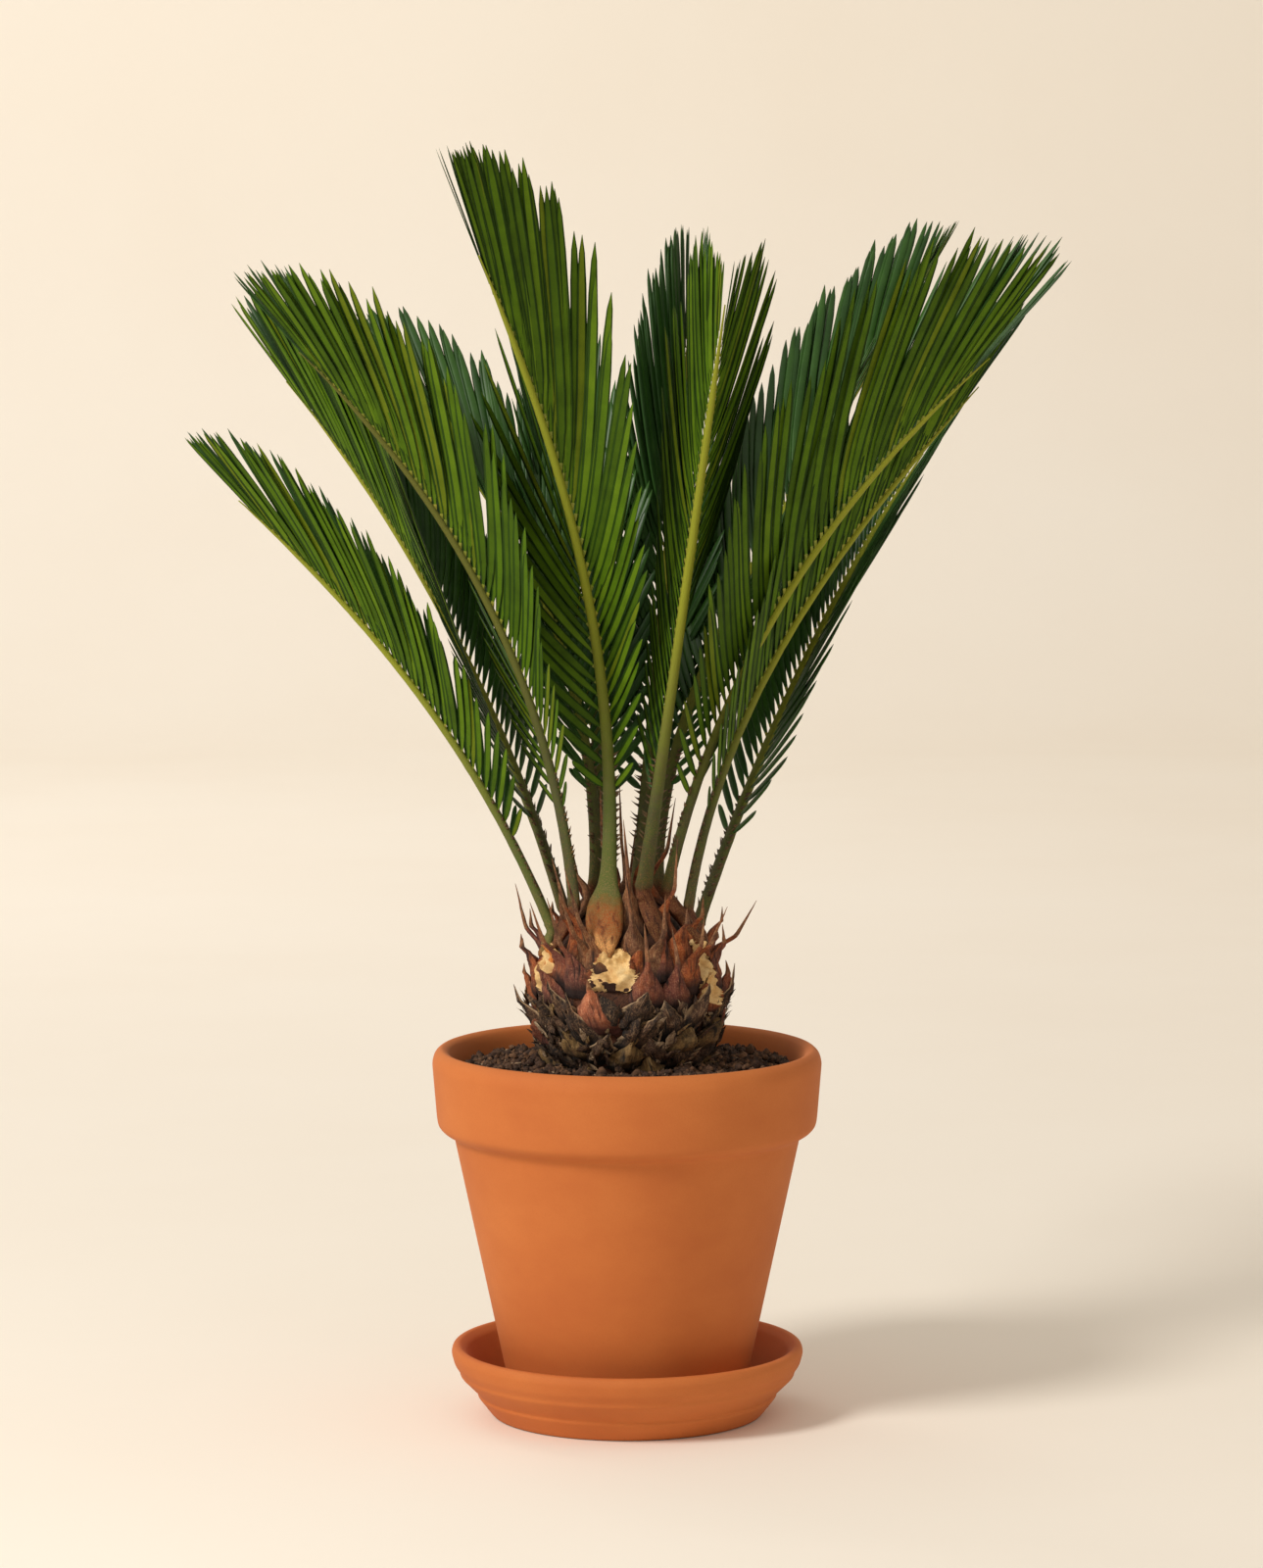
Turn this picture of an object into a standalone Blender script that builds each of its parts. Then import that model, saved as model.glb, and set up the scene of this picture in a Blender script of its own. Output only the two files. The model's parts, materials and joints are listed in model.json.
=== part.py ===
"""Sago palm in a terracotta pot that stands in a saucer: a closed solid for each part, in metres, +Z up.

The frame's origin is the middle of the saucer's underside. The viewer of the photo stands on -Y.
A frond is a rib that bends outward, with leaflets grown off both sides of it by one rule.
"""

import bmesh
import bpy
import numpy as np
from mathutils.bvhtree import BVHTree

# Pot: radii and heights of its outside
RIM_RADIUS = 0.110
RIM_TOP = 0.2094
RIM_FOOT = 0.1600
BODY_RADIUS = 0.0978
BASE_RADIUS = 0.0660
WALL = 0.0065
DRAIN_RADIUS = 0.010
ROUND_STEPS = 40

# Saucer
SAUCER_RADIUS = 0.0998
SAUCER_BASE = 0.0777
SAUCER_TOP = 0.0393
SAUCER_FLOOR = 0.0087

# Gap left between pieces that touch in life
GAP = 0.0003
# Clearance of the corners of feet that stand on the curved crown: a broad foot dips between its corners
STALK_SEAT = 0.0008
SCALE_SEAT = 0.0005

# How far a leaf is grown on every side when it is tested against its neighbours
CLEAR = 0.0006

# Soil and trunk
SOIL_LEVEL = 0.1987
TRUNK_FOOT = 0.0465
TRUNK_RADIUS = 0.0590
CROWN_TOP = 0.306
CROWN_FALL = 17.0
CROWN_EDGE = 0.050
SCALE_DEPTH = 0.0022
SCALE_ROWS = 9

# Leaf rule shared by all fronds
LEAF_LONGEST = 0.114
LEAF_PITCH = 0.0112
LEAF_WIDTH = 0.0060
LEAF_THICK = 0.0013
LEAF_CURL = 0.25
TUFT = 0.030
PETIOLE = 0.070

# One row per frond: azimuth, foot radius, rise at the foot and at the tip in degrees, how late it bends,
# length to the last leaflet tips, longest leaflet as a share of LEAF_LONGEST, fold and roll in degrees.
FRONDS = {
    "frond_01_front_left": (240, 0.022, 98.0, 50.5, 1.9, 0.450, 0.74, 52, 0),
    "frond_02_right_front": (338, 0.023, 77.0, 36.0, 1.1, 0.410, 1.00, 46, 0),
    "frond_03_left_front": (205, 0.032, 84.5, 37.0, 1.1, 0.410, 0.75, 46, 0),
    "frond_04_front_right": (296, 0.020, 72.5, 73.5, 1.6, 0.375, 0.76, 62, -18),
    "frond_05_left_low": (188, 0.042, 68.5, 40.0, 1.3, 0.350, 0.58, 46, 0),
    "frond_06_right": (352, 0.034, 82.0, 47.0, 1.8, 0.390, 0.74, 46, 0),
    "frond_07_left_back": (155, 0.038, 71.5, 39.5, 0.8, 0.400, 0.76, 55, 0),
    "frond_08_right_low": (28, 0.044, 68.5, 46.0, 0.7, 0.355, 0.66, 34, 15),
    "frond_09_back_left": (138, 0.024, 93.5, 30.5, 1.4, 0.400, 0.60, 46, 0),
    "frond_10_back_right": (46, 0.024, 92.0, 46.5, 4.1, 0.465, 0.62, 46, 0),
    "frond_11_back": (76, 0.027, 73.0, 65.5, 2.0, 0.405, 0.62, 62, 0),
    "frond_12_back_middle": (110, 0.030, 82.0, 52.0, 1.5, 0.370, 0.70, 58, 0),
}

# One row per scale leaf on the crown: azimuth, foot radius, lean outward in degrees, length
SCALES = (
    (262, 0.030, 8, 0.050),
    (305, 0.034, 12, 0.044),
    (225, 0.040, 14, 0.040),
    (178, 0.026, 10, 0.046),
    (320, 0.012, 6, 0.052),
    (200, 0.012, 4, 0.056),
    (100, 0.012, 5, 0.052),
    (12, 0.016, 10, 0.046),
    (60, 0.036, 12, 0.042),
    (90, 0.034, 12, 0.040),
    (125, 0.038, 14, 0.040),
    (250, 0.046, 18, 0.032),
    (292, 0.046, 18, 0.032),
    (222, 0.052, 16, 0.030),
    (172, 0.052, 14, 0.036),
    (5, 0.052, 34, 0.030),
    (322, 0.050, 24, 0.030),
    (50, 0.052, 26, 0.028),
    (92, 0.050, 22, 0.030),
    (130, 0.052, 24, 0.028),
)

TERRACOTTA = ((0.584, 0.165, 0.047), 0.82)
EARTH = ((0.016, 0.010, 0.007), 0.95)
BARK = ((0.070, 0.030, 0.016), 0.90)
HUSK = ((0.150, 0.070, 0.035), 0.90)
LEAF = ((0.030, 0.110, 0.022), 0.55)


def material(name, colour, roughness):
    """A plain Principled material."""
    made = bpy.data.materials.new(name)
    made.use_nodes = True
    node = made.node_tree.nodes["Principled BSDF"]
    node.inputs["Base Color"].default_value = (*colour, 1.0)
    node.inputs["Roughness"].default_value = roughness
    node.inputs["Metallic"].default_value = 0.0
    return made


def add_solid(name, points, faces, look, smooth=False):
    """Makes the object of one closed mesh, with its faces turned outward."""
    mesh = bpy.data.meshes.new(name)
    mesh.from_pydata([tuple(map(float, point)) for point in points], [], in_triangles(faces))
    work = bmesh.new()
    work.from_mesh(mesh)
    bmesh.ops.recalc_face_normals(work, faces=work.faces)
    if work.calc_volume(signed=True) < 0:
        bmesh.ops.reverse_faces(work, faces=work.faces)
    work.to_mesh(mesh)
    work.free()
    mesh.polygons.foreach_set("use_smooth", [smooth] * len(mesh.polygons))
    mesh.materials.append(look)
    made = bpy.data.objects.new(name, mesh)
    bpy.context.scene.collection.objects.link(made)
    return made


def turned(profile, steps):
    """Points and faces of a closed profile of (radius, height) carried once round Z."""
    profile = np.array(profile, float)
    angle = np.arange(steps) * 2 * np.pi / steps
    count = len(profile)
    ring = np.stack(
        [
            np.outer(np.cos(angle), profile[:, 0]),
            np.outer(np.sin(angle), profile[:, 0]),
            np.tile(profile[:, 1], (steps, 1)),
        ],
        2,
    )
    faces = []
    for i in range(steps):
        after = (i + 1) % steps
        for j in range(count):
            beside = (j + 1) % count
            faces.append((i * count + j, after * count + j, after * count + beside, i * count + beside))
    return ring.reshape(-1, 3), faces


def add_pot(look):
    """Pot with a rounded rim band, a tapered body, a hollow inside and a drain hole in its floor."""
    bottom = SAUCER_FLOOR + GAP
    floor = bottom + 0.009
    inner_rim = RIM_RADIUS - 0.0110
    profile = (
        (DRAIN_RADIUS, bottom),
        (BASE_RADIUS - 0.0020, bottom),
        (BASE_RADIUS, bottom + 0.0020),
        (BODY_RADIUS, RIM_FOOT - 0.0020),
        (BODY_RADIUS + 0.0050, RIM_FOOT + 0.0004),
        (BODY_RADIUS + 0.0083, RIM_FOOT + 0.0045),
        (BODY_RADIUS + 0.0096, RIM_FOOT + 0.0085),
        (RIM_RADIUS - 0.0004, RIM_TOP - 0.0130),
        (RIM_RADIUS, RIM_TOP - 0.0080),
        (RIM_RADIUS - 0.0014, RIM_TOP - 0.0030),
        (RIM_RADIUS - 0.0050, RIM_TOP),
        (RIM_RADIUS - 0.0088, RIM_TOP - 0.0018),
        (inner_rim, RIM_TOP - 0.0060),
        (inner_rim - 0.0030, RIM_FOOT + 0.0300),
        (BODY_RADIUS - WALL, RIM_FOOT),
        (BASE_RADIUS - WALL + 0.0020, floor + 0.0060),
        (BASE_RADIUS - WALL - 0.0050, floor),
        (DRAIN_RADIUS, floor),
    )
    points, faces = turned(profile, ROUND_STEPS)
    add_solid("pot", points, faces, look, smooth=True)


def add_saucer(look):
    """Saucer with a thick rolled rim and two turned grooves round its outside."""
    inner = SAUCER_RADIUS - 0.0085
    profile = (
        (0.0020, 0.0),
        (SAUCER_BASE - 0.0015, 0.0),
        (SAUCER_BASE, 0.0015),
        (0.0850, 0.0108),
        (0.0846, 0.0125),
        (0.0882, 0.0160),
        (0.0948, 0.0225),
        (0.0952, 0.0249),
        (0.0980, 0.0290),
        (SAUCER_RADIUS, 0.0355),
        (SAUCER_RADIUS - 0.0012, SAUCER_TOP),
        (SAUCER_RADIUS - 0.0045, SAUCER_TOP + 0.0006),
        (inner, SAUCER_TOP - 0.0030),
        (0.0790, 0.0130),
        (0.0750, SAUCER_FLOOR),
        (0.0020, SAUCER_FLOOR),
    )
    profile = ((0.0, 0.0), *profile[1:-1], (0.0, SAUCER_FLOOR))
    rim = np.array(profile[1:-1])
    points, faces = turned(rim, ROUND_STEPS)
    # The strip that closes the profile is left out: two discs close the bottom and the floor instead.
    count = len(rim)
    faces = [face for index, face in enumerate(faces) if index % count != count - 1]
    points = np.vstack([points, [(0, 0, 0), (0, 0, SAUCER_FLOOR)]])
    low = len(points) - 2
    for i in range(ROUND_STEPS):
        after = (i + 1) % ROUND_STEPS
        faces.append((i * count, after * count, low))
        faces.append((after * count + count - 1, i * count + count - 1, low + 1))
    add_solid("saucer", points, faces, look, smooth=True)


def add_soil(look):
    """Soil that fills the pot, with a flat seat under the trunk and a low uneven mound round it."""
    floor = SAUCER_FLOOR + GAP + 0.009
    radii = (0.0, 0.0470, 0.0495, 0.0620, 0.0760, 0.0880)
    rise = (0.0, 0.0, 0.0022, 0.0016, 0.0004, -0.0008)
    wall = ((0.0948, SOIL_LEVEL - 0.0018), (0.0945, 0.1880))
    wall += ((BODY_RADIUS - WALL - 0.0006, RIM_FOOT), (BASE_RADIUS - WALL + 0.0013, floor + 0.0062))
    wall += ((BASE_RADIUS - WALL - 0.0055, floor + GAP),)
    rings = [(r, SOIL_LEVEL + z) for r, z in zip(radii[1:], rise[1:])] + list(wall)
    points, faces = turned(rings, ROUND_STEPS)
    count = len(rings)
    points = points.reshape(ROUND_STEPS, count, 3)
    angle = np.arange(ROUND_STEPS) * 2 * np.pi / ROUND_STEPS
    for j, size in ((2, 0.0008), (3, 0.0012), (4, 0.0010)):
        points[:, j, 2] += size * np.sin(5 * angle + j) * np.cos(3 * angle + 2 * j)
    points = points.reshape(-1, 3)
    faces = [face for index, face in enumerate(faces) if index % count != count - 1]
    points = np.vstack([points, [(0, 0, SOIL_LEVEL), (0, 0, floor + GAP)]])
    top = len(points) - 2
    for i in range(ROUND_STEPS):
        after = (i + 1) % ROUND_STEPS
        faces.append((i * count, after * count, top))
        faces.append((after * count + count - 1, i * count + count - 1, top + 1))
    add_solid("soil", points, faces, look, smooth=False)


def crown_height(radius):
    """Height of the domed crown of the trunk at this radius."""
    return CROWN_TOP - CROWN_FALL * radius**2


def on_crown(points, gap):
    """Moves points straight up or down until they stand this gap clear of the crown."""
    radius = np.hypot(points[:, 0], points[:, 1])
    slope = 2 * CROWN_FALL * radius
    placed = points.copy()
    placed[:, 2] = crown_height(radius) + gap * np.sqrt(1 + slope**2)
    return placed


def add_trunk(look):
    """Barrel trunk under a dome, with old leaf bases as bumps that wind round it, cut flat at the soil."""
    foot = SOIL_LEVEL + GAP
    barrel_r = (TRUNK_FOOT, 0.0535, 0.0580, TRUNK_RADIUS, 0.0560, CROWN_EDGE)
    barrel_z = (foot, 0.2120, 0.2280, 0.2420, 0.2545, crown_height(CROWN_EDGE))
    along = np.linspace(0, 1, 6)
    fine = np.linspace(0, 1, 11)
    radius = np.interp(fine, along, barrel_r)
    height = np.interp(fine, along, barrel_z)
    dome = np.array((0.045, 0.040, 0.034, 0.028, 0.021, 0.014, 0.007))
    radius = np.concatenate([radius, dome])
    height = np.concatenate([height, crown_height(dome)])
    steps = 32
    angle = np.arange(steps) * 2 * np.pi / steps
    turn = angle[None, :] * SCALE_ROWS
    climb = (height[:, None] - foot) / 0.011 * np.pi
    bump = np.cos(turn) * np.cos(climb)
    fade = np.clip((height - foot) / 0.006, 0, 1) * np.clip((0.262 - height) / 0.008, 0, 1)
    grid = radius[:, None] - SCALE_DEPTH * 0.5 * fade[:, None] * (1 - bump)
    points = np.stack(
        [grid * np.cos(angle), grid * np.sin(angle), np.tile(height[:, None], (1, steps))], 2
    )
    rows = len(radius)
    points = np.vstack([points.reshape(-1, 3), [(0, 0, foot), (0, 0, CROWN_TOP)]])
    faces = []
    for i in range(steps):
        after = (i + 1) % steps
        for j in range(rows - 1):
            faces.append((j * steps + i, j * steps + after, (j + 1) * steps + after, (j + 1) * steps + i))
        faces.append((after, i, rows * steps))
        faces.append(((rows - 1) * steps + i, (rows - 1) * steps + after, rows * steps + 1))
    add_solid("trunk", points, faces, look, smooth=False)
    return points, faces


def smoothstep(value):
    """Eases from 0 to 1."""
    value = np.clip(value, 0, 1)
    return value * value * (3 - 2 * value)


def rib_frames(row, where):
    """Centre points and the directions along, up the folded face of, and across a rib.

    The rise falls from its value at the foot to its value at the tip as (1 - s) to a power, and the line
    is the sum of the small steps along it.
    """
    azimuth, foot, rise0, rise1, late, length, _, _, roll = row
    fine = np.linspace(0, 1, 201)
    middle = (fine[:-1] + fine[1:]) / 2
    turn = np.radians(azimuth)
    out = np.array((np.cos(turn), np.sin(turn), 0.0))
    up = np.array((0.0, 0.0, 1.0))

    def rise(s):
        return np.radians(rise1 + (rise0 - rise1) * np.clip(1 - s, 0, 1) ** late)[:, None]

    step = (np.cos(rise(middle)) * out + np.sin(rise(middle)) * up) * length / 200
    start = foot * out + (crown_height(foot) + STALK_SEAT) * up
    line = np.vstack([start, start + np.cumsum(step, 0)])
    where = np.asarray(where, float)
    centre = np.stack([np.interp(where, fine, line[:, k]) for k in range(3)], 1)
    along = np.cos(rise(where)) * out + np.sin(rise(where)) * up
    inner = -np.sin(rise(where)) * out + np.cos(rise(where)) * up
    across = np.cross(along, inner)
    tilt = np.radians(roll) * smoothstep(where / 0.6)[:, None]
    face = inner * np.cos(tilt) + across * np.sin(tilt)
    across = across * np.cos(tilt) - inner * np.sin(tilt)
    return centre, along, face, across


def rib_size(where):
    """Half width and half thickness of the leaf stalk and rib along the frond."""
    stops = (0.0, 0.03, 0.16, 0.35, 0.55, 0.78, 1.0)
    half = np.interp(where, stops, (0.0056, 0.0046, 0.0037, 0.0028, 0.0025, 0.0018, 0.0009))
    thick = np.interp(where, stops, (0.0034, 0.0032, 0.0028, 0.0023, 0.0020, 0.0014, 0.0008))
    return half, thick


def frond_plan(row):
    """Stations along the rib: the ring positions, and for each leaflet pair its share of the blade."""
    length = row[5]
    start = PETIOLE / length
    end = 1 - TUFT / length
    count = int(round((end - start) * length / LEAF_PITCH))
    share = ((np.arange(count) + 0.5) / count) ** 0.92
    middle = start + (end - start) * share
    half = np.interp(share, (0, 0.5, 1), (0.0019, 0.0022, 0.0013)) / length
    petiole = np.array((0.0, 0.35, 0.70, 0.94)) * start
    pairs = np.stack([middle - half, middle + half], 1).reshape(-1)
    last = pairs[-1] + 0.004 / length
    return np.concatenate([petiole, pairs, [last]]), share, len(petiole)


def leaf_shape(row, where, share, side, scale, fold_more):
    """Centre, direction and size of the leaflets of one side: (foot, start direction, along, length)."""
    centre, along, face, across = rib_frames(row, where)
    angle = np.radians(np.interp(share, (0, 0.15, 0.4, 0.7, 0.9, 1), (68, 58, 48, 40, 33, 24)))[:, None]
    fold = row[7] + fold_more
    keel = np.radians(np.interp(share, (0, 0.2, 0.5, 1), (8, 24, fold, fold + 4)))[:, None]
    lateral = side * across * np.cos(keel) + face * np.sin(keel)
    direction = np.cos(angle) * along + np.sin(angle) * lateral
    stops = (0, 0.04, 0.10, 0.2, 0.32, 0.45, 0.6, 0.75, 0.87, 0.95, 1)
    sizes = (0.16, 0.36, 0.50, 0.64, 0.80, 0.93, 1.0, 0.95, 0.76, 0.56, 0.38)
    length = np.interp(share, stops, sizes) * LEAF_LONGEST * row[6] * scale
    half, _ = rib_size(where)
    foot = centre + side * across * half[:, None]
    return foot, direction, along, length


def leaf_points(foot, direction, along, length, grow):
    """Mid ring and tip edge of one leaflet, made larger by grow on every side."""
    width = LEAF_WIDTH * min(1.0, 0.45 + length / 0.080) / 2 + grow
    thick = max(LEAF_THICK, length / 85) / 2 + grow
    made = []
    for share, half in ((0.45, width), (1.0, width * 0.30)):
        middle = foot + length * (share * direction + 0.5 * LEAF_CURL * share**2 * along)
        heading = direction + LEAF_CURL * share * along
        heading /= np.linalg.norm(heading)
        edge = along - np.dot(along, heading) * heading
        edge /= np.linalg.norm(edge)
        made.append((middle, edge * half, heading, edge))
    middle, edge, heading, unit = made[0]
    flat = np.cross(heading, unit) * thick
    ring = [middle - edge + flat, middle - edge - flat, middle + edge - flat, middle + edge + flat]
    end, edge, heading, _ = made[1]
    end = end + heading * grow
    return ring, [end - edge, end + edge]


LEAF_FACES = ((0, 1, 5, 4), (1, 2, 6, 5), (2, 3, 7, 6), (3, 0, 4, 7))
TIP_FACES = ((4, 5, 8), (5, 6, 9, 8), (6, 7, 9), (7, 4, 8, 9))
FLIPPED = (1, 0, 3, 2)


def in_triangles(faces):
    """The same faces as triangles, so that the clearance tests see just what is built."""
    return [(face[0], face[i], face[i + 1]) for face in faces for i in range(1, len(face) - 1)]


def tree_of(meshes):
    """One search tree over several (points, faces) meshes."""
    points = []
    faces = []
    for some, polygons in meshes:
        base = len(points)
        points.extend(tuple(map(float, point)) for point in some)
        faces.extend(tuple(base + index for index in polygon) for polygon in in_triangles(polygons))
    return BVHTree.FromPolygons(points, faces)


def rib_mesh(row):
    """The bare rib: rings of four points, the lowest one fitted to the crown."""
    where, _, _ = frond_plan(row)
    centre, _, face, across = rib_frames(row, where)
    half, thick = rib_size(where)
    side = across * half[:, None]
    deep = face * thick[:, None]
    rings = np.stack([centre + side + deep, centre + side - deep, centre - side - deep, centre - side + deep], 1)
    rings[0] = on_crown(rings[0], STALK_SEAT)
    faces = [(3, 2, 1, 0)]
    for j in range(len(where) - 1):
        for k in range(4):
            after = (k + 1) % 4
            faces.append((4 * j + k, 4 * j + after, 4 * j + 4 + after, 4 * j + 4 + k))
    last = 4 * (len(where) - 1)
    faces.append((last, last + 1, last + 2, last + 3))
    return rings.reshape(-1, 3), faces


def free_leaf(row, where, share, side, corners, others):
    """The longest of a few leaflet shapes that stays clear of all other pieces, or None."""
    for scale, fold in ((1, 0), (1, 10), (1, -10), (0.8, 0), (0.8, 12), (0.6, 0), (0.42, 0)):
        feet, directions, alongs, lengths = leaf_shape(row, [where], np.array([share]), side, scale, fold)
        leaf = (feet[0], directions[0], alongs[0], lengths[0])
        ring, tip = leaf_points(*leaf, CLEAR)
        # The leaf's upper points lie on the same side of it as the rib's upper points.
        flip = np.dot(ring[0] - ring[1], corners[0] - corners[1]) < 0
        ring = [ring[i] for i in FLIPPED] if flip else ring
        test = tree_of([([*corners, *ring, *tip], [*LEAF_FACES, *TIP_FACES])])
        if not others.overlap(test):
            ring, tip = leaf_points(*leaf, 0.0)
            return [ring[i] for i in FLIPPED] if flip else ring, tip
    return None


def grow_frond(row, others):
    """Points and faces of a frond: the rib, with a leaflet drawn out of both sides at each station."""
    points, faces = rib_mesh(row)
    points = list(points)
    where, share, petiole = frond_plan(row)
    gone = set()
    for k in range(len(share)):
        first = petiole + 2 * k
        middle = (where[first] + where[first + 1]) / 2
        for side, columns in ((1, (0, 1)), (-1, (3, 2))):
            top, low = columns
            corner = [4 * first + top, 4 * first + low, 4 * first + 4 + low, 4 * first + 4 + top]
            found = free_leaf(row, middle, share[k], side, [np.array(points[i]) for i in corner], others)
            if found is None:
                continue
            ring, tip = found
            index = [*corner, *range(len(points), len(points) + 6)]
            points.extend([*ring, *tip])
            faces.extend(tuple(index[i] for i in face) for face in (*LEAF_FACES, *TIP_FACES))
            gone.add(frozenset(corner))
    faces = [face for face in faces if frozenset(face) not in gone]
    return points, faces


def scale_mesh(row, grow=0.0):
    """A scale leaf: an awl of four-point rings that stands on the crown and curves back upward."""
    azimuth, radius, lean, length = row
    turn = np.radians(azimuth)
    out = np.array((np.cos(turn), np.sin(turn), 0.0))
    side = np.array((-np.sin(turn), np.cos(turn), 0.0))
    up = np.array((0.0, 0.0, 1.0))
    foot = radius * out + (crown_height(radius) + SCALE_SEAT) * up
    rings = []
    for share, half, thick in ((0.0, 0.0042, 0.0022), (0.35, 0.0036, 0.0016), (0.72, 0.0016, 0.0009)):
        angle = np.radians(lean * (1.6 - share))
        heading = np.sin(angle) * out + np.cos(angle) * up
        flat = np.cos(angle) * out - np.sin(angle) * up
        middle = foot + heading * length * share
        broad = side * (half + grow)
        deep = flat * (thick + grow)
        rings.append(np.array([middle + broad, middle + deep, middle - broad, middle - deep]))
    if grow == 0.0:
        rings[0] = on_crown(rings[0], SCALE_SEAT)
    angle = np.radians(lean * 0.7)
    tip = foot + (np.sin(angle) * out + np.cos(angle) * up) * (length + grow)
    points = np.vstack([*rings, tip])
    faces = [(3, 2, 1, 0)]
    for j in range(2):
        for k in range(4):
            after = (k + 1) % 4
            faces.append((4 * j + k, 4 * j + after, 4 * j + 4 + after, 4 * j + 4 + k))
    faces.extend((8 + k, 8 + (k + 1) % 4, 12) for k in range(4))
    return points, faces


def free_scale(row, others):
    """The scale leaf at the nearest azimuth where it stays clear of the ribs and earlier scales."""
    for shift in (0, 5, -5, 10, -10, 15, -15, 20, -20):
        tried = (row[0] + shift, *row[1:])
        if not others.overlap(tree_of([scale_mesh(tried, CLEAR)])):
            return scale_mesh(tried)
    return None


def main():
    for old in list(bpy.data.objects):
        bpy.data.objects.remove(old, do_unlink=True)
    clay = material("terracotta", *TERRACOTTA)
    add_pot(clay)
    add_saucer(clay)
    add_soil(material("soil", *EARTH))
    trunk = add_trunk(material("bark", *BARK))
    ribs = {name: rib_mesh(row) for name, row in FRONDS.items()}
    husk = material("husk", *HUSK)
    husks = []
    for row in SCALES:
        made = free_scale(row, tree_of([*ribs.values(), *husks]))
        if made is None:
            continue
        husks.append(made)
        add_solid(f"scale_leaf_{len(husks):02d}", *made, husk)
    leaf = material("leaf", *LEAF)
    grown = []
    for name, row in FRONDS.items():
        bare = [rib for other, rib in ribs.items() if other != name]
        made = grow_frond(row, tree_of([trunk, *husks, *bare, *grown]))
        grown.append(made)
        add_solid(name, *made, leaf)


main()
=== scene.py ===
import json
import math

import bmesh
import bpy
import numpy as np
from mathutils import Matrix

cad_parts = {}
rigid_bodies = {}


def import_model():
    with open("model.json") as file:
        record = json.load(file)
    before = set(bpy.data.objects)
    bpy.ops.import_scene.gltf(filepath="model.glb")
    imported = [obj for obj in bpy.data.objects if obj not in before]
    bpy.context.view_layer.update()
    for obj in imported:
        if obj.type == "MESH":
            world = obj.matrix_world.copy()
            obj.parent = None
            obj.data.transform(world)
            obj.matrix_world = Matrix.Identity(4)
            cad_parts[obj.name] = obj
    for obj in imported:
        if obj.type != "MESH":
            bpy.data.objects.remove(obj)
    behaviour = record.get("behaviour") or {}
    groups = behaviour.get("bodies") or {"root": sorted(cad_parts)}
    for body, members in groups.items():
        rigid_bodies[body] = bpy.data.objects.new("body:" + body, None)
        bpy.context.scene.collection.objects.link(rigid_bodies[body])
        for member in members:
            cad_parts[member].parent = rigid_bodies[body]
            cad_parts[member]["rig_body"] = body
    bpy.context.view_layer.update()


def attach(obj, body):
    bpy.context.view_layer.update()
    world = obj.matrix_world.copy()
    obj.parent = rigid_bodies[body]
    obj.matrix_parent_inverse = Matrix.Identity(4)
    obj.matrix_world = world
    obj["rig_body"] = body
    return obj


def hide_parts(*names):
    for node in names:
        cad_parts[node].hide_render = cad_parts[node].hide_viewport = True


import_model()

# A sago palm in its terracotta pot and saucer. Metres, +Z up, the middle of the saucer's underside
# at the origin, the viewer of the photo on -Y. Azimuth 0 is +X and 90 is +Y.

body = "root"
upward = np.array((0.0, 0.0, 1.0))
pole = 0.0006  # radius of the small face that closes a surface at the axis

for startup in list(bpy.context.scene.objects):
    if "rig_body" not in startup and not startup.name.startswith("body:"):
        bpy.data.objects.remove(startup, do_unlink=True)


# Shapes

def easeInOut(value):
    # 3v^2 - 2v^3 between 0 and 1
    value = np.clip(value, 0.0, 1.0)
    return value * value * (3 - 2 * value)


def curveAt(place, stops):
    # the value at a place between (place, value) stops
    return np.interp(place, *zip(*stops))


def unit(vectors):
    # each vector over its own length
    return vectors / np.linalg.norm(vectors, axis=-1, keepdims=True)


def roundTurn(steps):
    # the angles of that many even steps round a circle
    return np.arange(steps) * 2 * np.pi / steps


def gridFaces(rows, columns, copies=1, wrap=True, caps=True):
    # the cells of a grid whose rows are rings, for many alike grids laid one after another;
    # wrap joins the last column to the first, caps close the first and last ring with one face each
    i = np.arange(rows - 1)[:, None]
    j = np.arange(columns if wrap else columns - 1)[None, :]
    low = i * columns + j
    beside = i * columns + (j + 1) % columns
    cells = np.stack([low, beside, beside + columns, low + columns], -1).reshape(-1, 4)
    step = np.arange(copies)[:, None, None] * rows * columns
    faces = [(step + cells).reshape(-1, 4)]
    if caps:
        ends = np.stack([np.arange(columns)[::-1], (rows - 1) * columns + np.arange(columns)])
        faces.append((step + ends).reshape(-1, columns))
    return faces


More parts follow.
